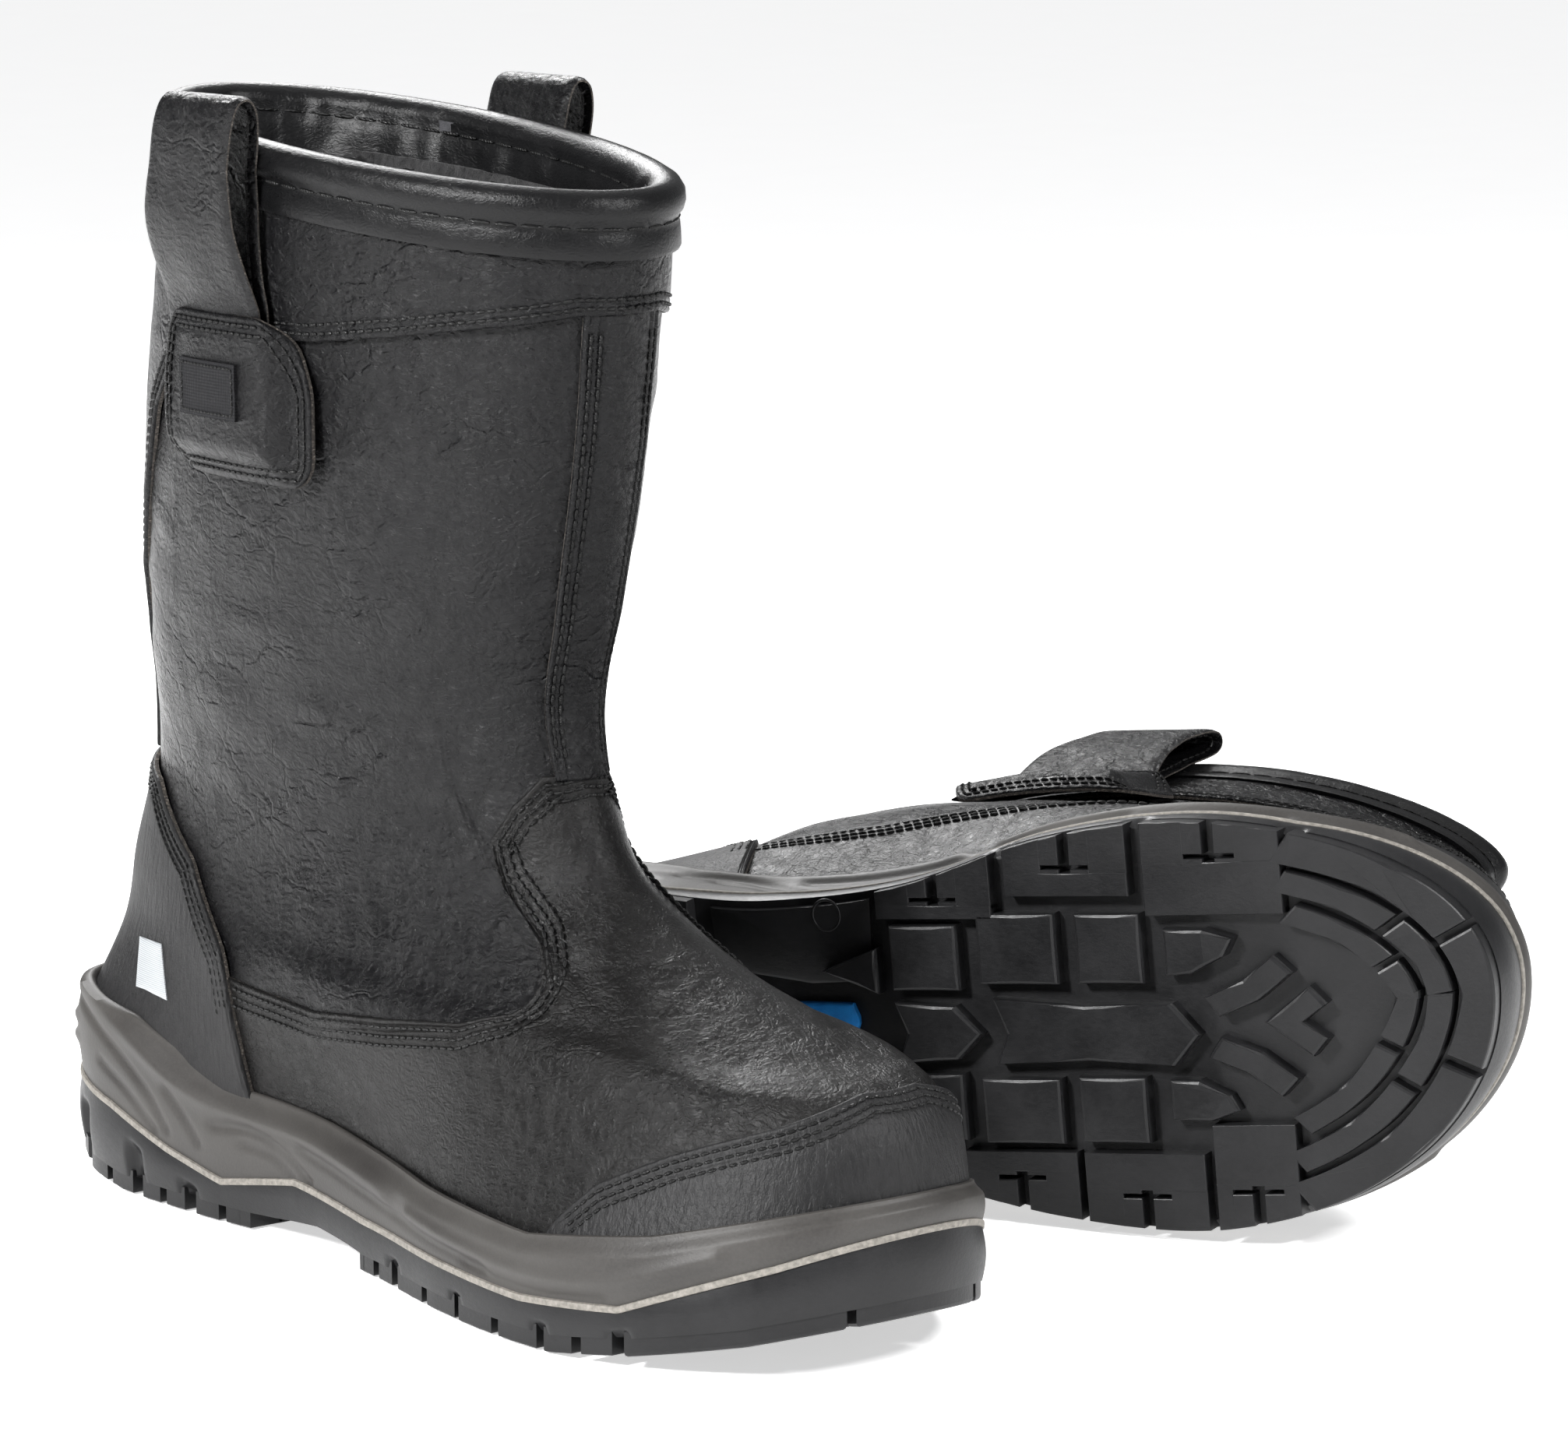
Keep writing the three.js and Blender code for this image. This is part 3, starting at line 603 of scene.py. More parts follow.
LEATHER = leather("grained_leather", (0.0018, 0.0018, 0.0022), (0.006, 0.0058, 0.0063))
# The vamp leather is smoother and warmer than the shaft's; its lighter grey base colour is also a painted sheen.
VAMP = leather("vamp_leather", (0.0035, 0.0034, 0.0035), (0.0115, 0.0108, 0.0103), 1.0, 0.4, 0.2, 1.0)
BINDING = leather("binding_leather", (0.003, 0.003, 0.0033), (0.007, 0.007, 0.0075), 0.8, 0.16, 0.24, 0.3)
SCUFF = ribbed_leather("ribbed_leather")
RAW, THREADS, PU, RUBBER = raw_edge(), thread_material(), foam_rubber(), tread_rubber()
WELT, FLEECE = welt_material(), fleece_material()
LABEL = woven("label_weave", (0.006, 0.006, 0.007), (0.014, 0.014, 0.0155), 0.8, Specular_IOR_Level=0.2)
REFLECTIVE = woven("reflective_film", (0.34, 0.36, 0.38), (0.62, 0.64, 0.66), 0.5, 0.06, 0.4, Metallic=0.35)
BLUE = plain("blue_bar_plastic", (0.008, 0.13, 0.42), (0.02, 0.24, 0.62), 0.34)
STEEL = plain("drawn_steel", (0.3, 0.3, 0.31), (0.5, 0.5, 0.51), 0.35, 4, 0.05, Metallic=1.0)
BOARD = plain("fibre_board", (0.2, 0.14, 0.09), (0.34, 0.25, 0.17), 0.8, 2.5, 0.2)
FOAM = plain("open_foam", (0.05, 0.05, 0.055), (0.11, 0.11, 0.12), 0.85, 1.6, 0.4)


# ---------------------------------------------------------------- the upper
def creases(points, turns, levels):
    """Soft folds of worn-in leather: round the ankle, across the instep and down the shaft."""
    y, z = points[..., 1], points[..., 2]
    warp = 5 * noise(points, 30, 1)
    slack = 0.75 * noise(points, 42, 2) + 0.3 * noise(points, 16, 3)
    ankle = np.exp(-(((z - 108 - 0.18 * (y - 90) - warp) / 13) ** 2)) * step(y, 40, 110)
    folds = np.sin((z - 0.35 * y + 1.6 * warp) / 3.4) * ankle * 0.55
    deep = -0.8 * np.exp(-(((z - 116 + 0.42 * (y - 150) - warp * 0.6) / 5) ** 2)) * step(y, 80, 165)
    shaft = 0.5 * noise(points * [1, 0.5, 1.6], 11, 4) * step(z, 110, 135)
    return slack + folds + deep + shaft


def stiff_relief(points, turns, levels):
    """The slight unevenness of stiff leather stretched over the toe cap and the heel stiffener."""
    return 0.25 * noise(points, 25, 5)


# Distances of the rows of stitches from each panel's edge.
VAMP_STITCHING, GUARD_STITCHING, BAND_STITCHING = (2.2, 4.4, 6.6), (2.0, 4.1, 6.2), (2.0, 4.2)
STRIP_LOW, STRIP_HIGH = 4.62, 8.12  # levels of the front strip's ends
STRIP_ROWS = (168.5, 171.5, 191.5, 194.5)  # turns of the stitching on the front strip


def strip_relief(points, turns, levels):
    """The strip's leather dips along its four rows of stitches."""
    dips = sum(np.exp(-(((turns - row) / 0.8) ** 2)) for row in STRIP_ROWS)
    return 0.3 * noise(points, 12, 6) - 0.55 * dips


def upper(boot):
    """Quarters, vamp and the panels sewn over them."""
    s = boot.side
    vamp_top, toe_top, counter_top = both(VAMP_TOP), both(TOE_TOP), both(COUNTER_TOP)
    stay_low, band_low = both(STAY_LOW), both(BAND_LOW)
    pieces = {}
    for part, first, last in (("quarter_outer", 0, 180), ("quarter_inner", 180, 360)):
        turns = seam_turns(first, last, 1.4)
        half = 180 - np.abs(turns - 180)
        low = np.where(half < 60, 0.02, np.where(half < 62, 0.5, vamp_top(turns) - 0.08))
        pieces[part] = panel(boot, f"{s}_{part}_leather", turns, low, COLLAR, -2.0, 0.1, [LEATHER, LEATHER],
                             middle=120, relief=creases, round_ends=False)
    pieces["vamp"] = panel(
        boot, f"{s}_vamp_leather", seam_turns(62, 298), 0.02, vamp_top(seam_turns(62, 298)), -2.0, 0.0,
        [VAMP, RAW], high_rows=FINE, middle=70, stitched=[("high", VAMP_STITCHING)],
        lift=lambda levels, d_low, d_high: 1.1 * np.exp(-((d_high / 14) ** 2)),
        relief=lambda points, turns, levels: 0.75 * creases(points, turns, levels))
    for part, reach, top, middle in (("toe_guard", (121, 239), toe_top, 30),
                                     ("heel_counter", (-67, 67), counter_top, 40)):
        turns = seam_turns(*reach)
        pieces[part] = panel(boot, f"{s}_{part}_leather", turns, 0.0, top(turns), 0.4, 2.3, [SCUFF, RAW],
                             high_rows=FINE, middle=middle, stitched=[("high", GUARD_STITCHING)],
                             relief=stiff_relief)
    pieces["front_strip"] = panel(boot, f"{s}_front_strip_leather", np.linspace(166, 197, 78), STRIP_LOW,
                                  STRIP_HIGH, 0.3, 1.9, [LEATHER, RAW], middle=80, relief=strip_relief)
    turns = seam_turns(-88, 88, 1.1)
    pieces["back_stay"] = panel(boot, f"{s}_back_stay_leather", turns, stay_low(turns), COLLAR, 0.3, 2.1,
                                [LEATHER, RAW], low_rows=FINE, middle=70, stitched=[("low", BAND_STITCHING)],
                                relief=lambda points, turns, levels: 0.6 * creases(points, turns, levels))
    turns = seam_turns(88, 272, 1.1)
    pieces["top_band"] = panel(boot, f"{s}_top_band_leather", turns, band_low(turns), COLLAR, 0.4, 2.2,
                               [LEATHER, RAW], low_rows=FINE, middle=24, stitched=[("low", BAND_STITCHING)],
                               relief=lambda points, turns, levels: 0.25 * noise(points, 9, 7))
    for part, obj in pieces.items():
        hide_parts(f"{s}_{part}")
    seams(boot, vamp_top, toe_top, counter_top, stay_low, band_low)


def seams(boot, vamp_top, toe_top, counter_top, stay_low, band_low):
    """Every row of stitching on the upper."""
    s = boot.side
    rows = {
        "vamp": (np.linspace(64, 296, 500), vamp_top, VAMP_STITCHING, 1.05, False),
        "toe_guard": (np.linspace(124, 236, 260), toe_top, GUARD_STITCHING, 2.25, False),
        "heel_counter": (np.linspace(-64, 64, 300), counter_top, GUARD_STITCHING, 2.25, False),
        "back_stay": (np.linspace(-87, 87, 380), stay_low, BAND_STITCHING, 2.05, True),
        "top_band": (np.linspace(89, 271, 380), band_low, BAND_STITCHING, 2.15, True),
    }
    for part, (turns, seam, distances, offset, upward) in rows.items():
        lines = []
        for d in distances:
            line = seam_line(turns, seam(turns), d, offset, upward)
            lines.append(line[line[:, 2] > np.interp(line[:, 1], *FEATHER) + 4])
        stitches(boot, f"{s}_{part}_stitches", lines, THREADS)
    lines = [skin(turn, np.linspace(STRIP_LOW + 0.16, STRIP_HIGH - 0.17, 160), 1.75) for turn in STRIP_ROWS]
    stitches(boot, f"{s}_front_strip_stitches", lines, THREADS)


def binding(boot):
    """The padded leather roll round the collar: a sewn skirt outside, a fat roll, and a facing inside."""
    s = boot.side
    count = 260
    turns = np.linspace(0, 360, count, endpoint=False)
    base = surface(turns, COLLAR)
    out = skin(turns, 8.6, 1.0) - surface(turns, 8.6)
    out[:, 2] = 0
    out /= np.linalg.norm(out, axis=-1, keepdims=True)
    # Section of the roll as (outward, up) from the leather's top edge: skirt, roll, then the inside facing.
    outline = [
        (1.6, -12.8), (3.3, -13.0), (3.7, -12.2), (3.6, -9.5), (3.4, -7.2), (2.9, -5.8), (3.3, -4.9),
        (4.3, -3.6), (4.9, -1.6), (4.7, 0.6), (3.6, 2.5), (1.8, 3.6), (-0.3, 3.7), (-2.6, 2.9),
        (-4.3, 1.3), (-5.1, -0.8), (-4.9, -2.8), (-5.6, -4.2), (-6.1, -6.5), (-6.5, -9.5), (-6.9, -12.5),
        (-7.4, -15.5), (-6.6, -16.5), (-5.0, -12), (-3.2, -6), (-1, -2.4), (1.2, -3.2), (1.8, -7)]
    rings = []
    for o, h in outline:
        pucker = 0.95 if o < -4.5 else 0.10  # the facing is gathered, the roll is pulled smooth
        p = base + out * o + np.array([0, 0, 1.0]) * h
        wave = pucker * noise(p * [1, 1, 0.35], 6, 11) + 0.45 * pucker * noise(p, 2.6, 12)
        rings.append(p + out * (wave if o > -3 else -wave)[:, None])
    obj = sweep(boot, f"{s}_collar_binding_roll", np.stack(rings, 1), BINDING)
    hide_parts(f"{s}_collar_binding")
    closed = np.concatenate([np.arange(count), [0]])
    outer_line = base[closed] + out[closed] * 3.15 + np.array([0, 0, -5.6])
    inner_line = base[closed] - out[closed] * 5.1 + np.array([0, 0, -2.9])
    stitches(boot, f"{s}_collar_stitches", [outer_line, inner_line], THREADS, pitch=6.6)


def lining(boot):
    """The fleece that fills the shaft and foot, tufted on its inner face."""
    s = boot.side
    turns = np.linspace(0, 360, 300, endpoint=False)
    levels = np.concatenate([np.linspace(0.35, 5, 30), np.linspace(5.1, 8.58, 90)])
    across, up = np.meshgrid(turns, levels)
    raw = skin(across, up, -8.2)
    tufts = 1.1 * np.abs(noise(raw, 2.6, 21)) + 0.9 * noise(raw, 6, 22)
    inner, outer = skin(across, up, -7.4 - tufts), skin(across, up, -5.0)
    rings = np.concatenate([outer, inner[::-1]])
    faces = grid_faces(len(rings), len(turns), closed_rows=True, closed_columns=True)
    obj = make(boot, f"{s}_fleece_lining", rings, faces, FLEECE)
    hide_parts(f"{s}_lining")


# ---------------------------------------------------------------- pull loops and patches
# Each strap in section as (distance from the shaft, height); the pressed one lies under the fallen boot.
LOOP = [(5.4, 262), (6.4, 279), (7.6, 286.5), (10.6, 289), (13.6, 286.5), (14.8, 278), (13.6, 262),
        (10.6, 250)]
PRESSED = [(5, 262), (5.4, 280), (5.2, 290), (6.8, 293), (8.8, 290), (8.4, 280), (8, 262)]
STRAP_HALF = 1.0  # half the strap's thickness
STRAP_BACK, STRAP_WIDTH = 84, 33  # y of a loop's back edge, and its width
STRAP_TUCKED = 238  # below this height the strap keeps its shape, hidden behind the patch
SHAFT_MIDDLE, SHAFT_HALF_LENGTH, SHAFT_HALF_WIDTH = 122, 88, 42  # plan of the shaft beside the straps
LOOP_PLANE = 41  # how far from the boot's middle a loop's flat part stands
LEAN = 10.0  # how far forward a loop leans at its top


def shaft_side(y):
    """Distance of the shaft's side from the boot's middle."""
    return SHAFT_HALF_WIDTH * np.sqrt(1 - np.minimum(np.abs(y - SHAFT_MIDDLE) / SHAFT_HALF_LENGTH, 1) ** 2)


def strap_place(share, z, leaning):
    """y across the strap at a height, and the distance its back stands from the boot's middle. The strap widens
    downward, and it turns from flat at the top to the shaft's curve at the hinge."""
    z = max(z, STRAP_TUCKED)
    widen = max(0.0, (HINGE_Z + 32 - z) / 32)
    flat = min(max((z - HINGE_Z) / 22, 0), 1)
    first, width, lean = STRAP_BACK - 3 * widen, STRAP_WIDTH + 12 * widen, LEAN * step(z, HINGE_Z, 292)
    y = first + width * (0.5 + 0.5 * share) + leaning * lean
    return y, shaft_side(y) * (1 - flat) + LOOP_PLANE * flat


def strap(boot, part, side, middle_path):
    """One folded strap: up from behind the patch, over at the top and back down under the patch."""
    s = boot.side
    path = [(3.6, 200), (3.6, 215), (3.7, 228), (4.2, HINGE_Z), *middle_path, (7.2, HINGE_Z), (6.0, 231),
            (5.8, 222)]
    stations = np.linspace(0, len(path) - 1, 110)
    line = smooth(path, stations)
    ahead = np.gradient(line, axis=0)
    ahead /= np.linalg.norm(ahead, axis=1, keepdims=True)
    normal = np.stack([ahead[:, 1], -ahead[:, 0]], -1)
    across = np.linspace(-1, 1, 25)
    leaning = middle_path is LOOP
    rings = []
    for (o, z), (no, nz) in zip(line, normal):
        ring = []
        for face in (1, -1):
            for f in across if face > 0 else across[::-1]:
                y, base = strap_place(f, z, leaning)
                thick = STRAP_HALF * face * (1 - 0.75 * max(abs(f) - 0.9, 0) / 0.1)
                wave = 0.25 * noise(np.array([o * 3, y, z]), 9, 31)
                ring.append((side * (base + o + no * thick + wave), y, z + nz * thick))
        rings.append(ring)
    kinds = ([0] * (len(across) - 1) + [1]) * 2
    obj = sweep(boot, f"{s}_pull_strap_{part}", rings, [LEATHER, RAW], closed=False, body="later",
                kinds=kinds)
    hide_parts(f"{s}_strap_tail_{part}", f"{s}_pull_loop_{part}")
    rows = []
    lift = STRAP_HALF + 0.12
    for f in (-0.84, 0.84):
        points = []
        for (o, z), (no, nz) in zip(line, normal):
            y, base = strap_place(f, z, leaning)
            points.append((side * (base + o + no * lift), y, z + nz * lift))
        rows.append(np.array(points))
    seam = stitches(boot, f"{s}_pull_strap_{part}_stitches", rows, THREADS, pitch=3.0, body="later")
    for piece in (obj, seam):
        if boot.fallen and part == "outer":
            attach(piece, boot.body)
        else:
            hinge = np.array([side * 46.8, 100, HINGE_Z])
            start, end = boot.place(hinge + [0, 0, -3.0]), boot.place(hinge + [0, 0, 5.0])
            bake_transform(piece)


PATCH_TOP, PATCH_LOW = 236.0, 194.0
PATCH_CORNER = 8.0


def patch_half(z):
    """Back and front edge of the rounded patch at a height, in y."""
    z = np.asarray(z, float)
    t = (PATCH_TOP - z) / (PATCH_TOP - PATCH_LOW)
    front = 133 + 6 * step(t, 0, 0.5)
    back = 84 - 4 * step(t, 0, 0.5) + 3 * step(t, 0.6, 1.0)
    near = np.clip(np.minimum(PATCH_TOP - z, z - PATCH_LOW) / PATCH_CORNER, 0, 1)
    corner = PATCH_CORNER * (1 - np.sqrt(np.clip(1 - (1 - near) ** 2, 0, 1)))
    return back + corner, front - corner


def patch_out(y, z):
    """How far the patch's face stands off the shaft: high over the strap's ends, low around them."""
    over = step(y, 70, 79) * (1 - step(y, 127.5, 136)) * step(z, 193, 204)
    return 2.1 + 6.4 * over


def patch(boot, part, side):
    """The rounded patch that holds a strap's ends, with its double row of stitching."""
    s = boot.side
    heights = np.concatenate([PATCH_TOP - np.array([0, 0.1, 0.4, 1, 1.6, 2.2, 2.8, 3.6, 4.4, 5.2]),
                              np.linspace(PATCH_TOP - 6.4, PATCH_LOW + 6.4, 24),
                              PATCH_LOW + np.array([5.2, 4.4, 3.6, 2.8, 2.2, 1.6, 1, 0.4, 0.1, 0])])
    near = np.array([0, 0.002, 0.008, 0.018, 0.03, 0.042, 0.054, 0.068, 0.082, 0.096])
    shares = np.concatenate([near, np.linspace(0.115, 0.885, 40), 1 - near[::-1]])
    back, front = patch_half(heights)
    y = back[:, None] + (front - back)[:, None] * shares[None, :]
    z = np.broadcast_to(heights[:, None], y.shape)
    d_edge = np.minimum(np.minimum(y - back[:, None], front[:, None] - y),
                        np.minimum(PATCH_TOP - z, z - PATCH_LOW))
    bump = 0.35 * noise(np.stack([y, z, 0 * z], -1), 12, 41 + side)
    off = patch_out(y, z) - edge_drop(d_edge) + bump * np.clip(d_edge / 4, 0, 1)
    for place in (2.2, 4.4):
        off = off - GROOVE * np.exp(-(((d_edge - place) / 0.6) ** 2))
    under = patch_out(y, z) - 1.8
    beside_shaft = lambda o: np.stack([side * (shaft_side(y) + o), y, z], -1)
    obj = shell(boot, f"{s}_strap_patch_{part}_leather", beside_shaft(off), beside_shaft(under),
                [LEATHER, RAW], 1)
    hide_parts(f"{s}_strap_patch_{part}")

    def on_patch(y, z, lift):
        return np.stack([side * (shaft_side(y) + patch_out(y, z) + lift), y, z], -1)

    lines = []
    for inset in (2.2, 4.4):
        zs = np.linspace(PATCH_TOP - inset, PATCH_LOW + inset, 60)
        b, f = patch_half(zs)
        b, f = b + inset * 0.9, f - inset * 0.9
        loop_y = np.concatenate([b, np.linspace(b[-1], f[-1], 20), f[::-1], np.linspace(f[0], b[0], 20)])
        loop_z = np.concatenate([zs, np.full(20, zs[-1]), zs[::-1], np.full(20, zs[0])])
        lines.append(on_patch(loop_y, loop_z, 0.0))
    stitches(boot, f"{s}_strap_patch_{part}_stitches", lines, THREADS)
    if part == "outer":
        label(boot, on_patch)


def label(boot, on_patch):
    """The plain woven label sewn to the outer patch; it carries no lettering."""
    s = boot.side
    y, z = np.meshgrid(np.linspace(92, 119, 40), np.linspace(224, 210, 22))
    low, high = on_patch(y, z, -0.4), on_patch(y, z, 0.75 + 0.12 * noise(np.stack([y, z, z], -1), 5, 51))
    obj = shell(boot, f"{s}_woven_label", high, low, LABEL)
    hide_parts(f"{s}_patch_label")
    edge_y = np.array([93.2, 117.8, 117.8, 93.2, 93.2])
    edge_z = np.array([222.8, 222.8, 211.2, 211.2, 222.8])
    t = np.linspace(0, 4, 120)
    line = on_patch(np.interp(t, range(5), edge_y), np.interp(t, range(5), edge_z), 0.85)
    stitches(boot, f"{s}_woven_label_stitches", [line], THREADS, pitch=1.7, radius=0.3)


def heel_mark(boot):
    """A plain slanted bar of reflective film on the heel counter."""
    s = boot.side
    u, v = np.meshgrid(np.linspace(0, 1, 16), np.linspace(0, 1, 30))
    turns = 36 + 9 * u + 4.5 * v
    levels = 0.95 - 0.5 * v + 0.06 * u
    edge = np.minimum(np.minimum(u, 1 - u) * 7, np.minimum(v, 1 - v) * 14)
    high, low = skin(turns, levels, 2.75 - 0.2 * np.exp(-edge * 3)), skin(turns, levels, 2.1)
    obj = shell(boot, f"{s}_heel_mark_film", high, low, REFLECTIVE)
    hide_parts(f"{s}_heel_mark")


# ---------------------------------------------------------------- the sole
def under(y):
    """Height of the sole's underside between the lugs."""
    y = np.asarray(y, float)
    return np.where((y > ARCH[0][0]) & (y < ARCH[0][-1]), np.interp(y, *ARCH), np.interp(y, *GROUND) + LUG)


# Moulded ridges on the midsole, each a side-view line of (y, z), a width and a height; both sides carry them.
RIDGES = [
    ([(4, 50), (22, 48.5), (46, 42), (70, 33), (100, 29.5), (130, 27.5), (165, 23.5)], 3.0, 1.7),
    ([(10, 47), (30, 41), (52, 30), (62, 20)], 1.3, -0.9),
    ([(30, 33), (44, 27), (56, 19)], 1.4, -0.8),
    ([(62, 31), (70, 25), (76, 19)], 1.3, -0.9),
    ([(82, 25), (98, 26), (112, 22), (122, 17)], 1.6, -0.9),
    ([(94, 22), (106, 21), (114, 17)], 1.4, -0.7),
    ([(120, 25), (150, 21), (185, 17.5), (215, 16)], 1.8, -0.9),
    ([(178, 21), (206, 19), (238, 18), (262, 21), (285, 29)], 2.0, 1.0),
    ([(205, 15), (235, 14), (258, 16)], 1.3, -0.6),
]
KICKS = [(41, 1.9), (35.5, 2.2)]  # heights and reach of the ribs at the back of the heel


def line_distance(y, z, line):
    """Distance from points to a drawn line in side view."""
    best = np.full(y.shape, 1e9)
    dense = smooth(line, np.linspace(0, len(line) - 1, 40))
    for (ay, az), (by, bz) in zip(dense[:-1], dense[1:]):
        t = np.clip(((y - ay) * (by - ay) + (z - az) * (bz - az)) / ((by - ay) ** 2 + (bz - az) ** 2), 0, 1)
        best = np.minimum(best, np.hypot(y - ay - t * (by - ay), z - az - t * (bz - az)))
    return best


def wall(turns, inset, z):
    """Points of the sole's outline at a height."""
    x, y = sole_edge(turns, inset)
    return np.stack([x, y, z], -1)


def outward(turns):
    """Level direction away from the sole at a turn."""
    d = np.stack(sole_edge(turns + 0.7), -1) - np.stack(sole_edge(turns - 0.7), -1)
    d /= np.linalg.norm(d, axis=-1, keepdims=True)
    return np.stack([d[:, 1], -d[:, 0], 0 * d[:, 0]], -1)


def midsole(boot):
    """The sculpted PU midsole wall and the lip that cups the leather."""
    s = boot.side
    turns = np.linspace(0, 360, 560, endpoint=False)
    y = sole_edge(turns)[1]
    low = np.interp(y, *PARTING) + 0.9
    top = np.interp(y, *FEATHER) + 4.6 + 1.6 * step(-y, -30, 0)
    rings = []
    for share in np.linspace(0, 1, 34):
        z = low + (top - low) * share
        belly = 0.3 - 1.0 * np.sin(math.pi * np.clip(share, 0, 1)) + 1.5 * step(share, 0.72, 1.0)
        relief = np.zeros_like(y)
        for line, width, height in RIDGES:
            relief += height * np.exp(-((line_distance(y, z, line) / width) ** 2))
        back = step(-y, -16, -3)
        for place, reach in KICKS:
            relief += back * reach * np.exp(-(((z - place) / 1.9) ** 2))
        relief *= step(share, -0.02, 0.12)
        rings.append(wall(turns, 0.0, z) + outward(turns) * (relief - belly)[:, None])
    lip = outward(turns)
    for inset, rise in ((2.0, 0.55), (2.9, 0.75), (3.7, 0.3), (4.3, -0.9), (5.0, -3.0)):
        rings.append(wall(turns, 0.0, top + rise) - lip * inset)
    rings.append(wall(turns, 0.0, low + 2) - lip * 7)
    rings.append(wall(turns, 0.0, low) - lip * 6)
    obj = sweep(boot, f"{s}_midsole_pu", np.stack(rings, 1), PU)
    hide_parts(f"{s}_midsole")
    strip = [(0.2, 1.1), (-0.45, 0.9), (-0.55, 0.2), (-0.45, -0.6), (0.2, -0.9), (2.5, -0.7), (2.5, 0.9)]
    band = [wall(turns, 0.0, low + h) - lip * o for o, h in strip]
    sweep(boot, f"{s}_parting_line", np.stack(band, 1), WELT)


# Tread, in boot millimetres. Gaps in the rows of edge lugs, where a slot also climbs the wall.
OUTER_GAPS = [(16, 21), (45, 50), (69, 74), (96, 148), (166, 169.5), (201, 203), (236, 238.6), (260, 264)]
INNER_GAPS = [(16, 21), (45, 50), (69, 74), (96, 150), (182.5, 186.6), (220.7, 224.8), (261, 265)]
# Rows of edge lugs: from y, to y, and the x of the straight inner side.
OUTER_LUGS = [(21, 45, 17), (50, 69, 18), (74, 96, 17), (148, 166, 30), (169.5, 201, 31.5), (203, 236, 31.5),
              (238.6, 260, 24)]
INNER_LUGS = [(21, 45, -17), (50, 69, -18), (74, 96, -17), (150, 182.5, -28.7), (186.6, 220.7, -34.5),
              (224.8, 261, -29.4)]
# Free-standing lugs, each an outline of (x, y).
LUGS = [
    [(-27, 153), (-10, 153), (-10, 172), (-27, 172)],
    [(-30, 177.6), (-11.7, 177.6), (-11.7, 199.6), (-30, 199.6)],
    [(12.6, 176), (29.5, 176), (29.5, 198), (12.6, 198)],
    [(-30, 205), (-12, 205), (-12, 223), (-30, 223)],
    [(-26, 229), (-14, 229), (-14.5, 236), (-19, 245), (-23.5, 247.5), (-26, 240)],
    [(1.2, 156), (9, 153), (8, 170), (1.2, 177), (-6, 170), (-7, 153)],
    [(1, 184), (9, 180.6), (8, 206), (9, 230), (1, 237), (-7, 230), (-6.5, 206), (-8, 180.6)],
    [(-8.5, 239), (-3.5, 242.5), (-7.5, 253), (-14.5, 262), (-19, 257.5), (-13, 249)],
    [(6.5, 239), (1.5, 242.5), (5.5, 253), (12.5, 262), (17, 257.5), (11, 249)],
    [(-11, 266), (-2, 254), (7, 266), (2.5, 270), (-2, 264), (-6.5, 270)],
    [(11.6, 151), (27, 151), (29, 171), (11.6, 171)],
    [(12, 203), (29, 203), (29, 221.5), (12, 221.5)],
    [(12.5, 228), (23, 228), (23, 239), (20.5, 246), (16.5, 244), (12.5, 236)],
    [(-21, 149), (-9, 149), (-15, 133)],
    [(7.5, 149), (19, 149), (13, 133)],
    [(-13, 24), (-2, 18), (10, 24), (10, 44), (-2, 38), (-13, 44)],
    [(-13, 49), (-2, 43), (10, 49), (10, 68), (-2, 62), (-13, 68)],
    [(-13, 73), (-2, 67), (10, 73), (10, 90), (-2, 96), (-13, 90)],
]


# Arcs that follow the sole's outline: the two insets they lie between, and the turns of each run.
ARCS = [
    (0.3, 8.5, ((134, 165), (166.5, 193.5), (195, 226))),
    (10, 16, ((137, 158), (159.5, 180), (181.5, 202), (203.5, 223))),
    (18, 23.5, ((142, 163), (164.5, 195), (196.5, 218))),
    (0.3, 9, ((-27, -9), (-7.5, 7.5), (9, 27))),
]


def slab(outline, lift, bevel=0.9):
    """Points and faces of one lug: from inside the rubber down to the ground, its edge chamfered."""
    flat = np.array(outline, float)
    middle = flat.mean(0)
    reach = np.maximum(np.linalg.norm(flat - middle, axis=1, keepdims=True), 1)
    shrink = lambda d: flat + (middle - flat) * d / reach
    layers = [(flat, 1.5), (flat, -LUG + bevel), (shrink(bevel * 0.35), -LUG + bevel * 0.3),
              (shrink(bevel), -LUG)]
    rings = []
    for plan, drop in layers:
        top = np.interp(plan[:, 1], *GROUND) + LUG
        rings.append(np.column_stack([plan, top + drop + lift]))
    count = len(flat)
    points = np.concatenate(rings)
    faces = grid_faces(len(rings), count, closed_columns=True)
    faces += [tuple(range(count)), tuple((len(rings) - 1) * count + k for k in reversed(range(count)))]
    return points, faces


def densify(outline, pitch=5.0):
    """Adds points along straight sides so that a lug can follow the sole's curve."""
    result = []
    for (ax, ay), (bx, by) in zip(outline, outline[1:] + outline[:1]):
        steps = max(1, int(math.hypot(bx - ax, by - ay) / pitch))
        result += [(ax + (bx - ax) * k / steps, ay + (by - ay) * k / steps) for k in range(steps)]
    return result


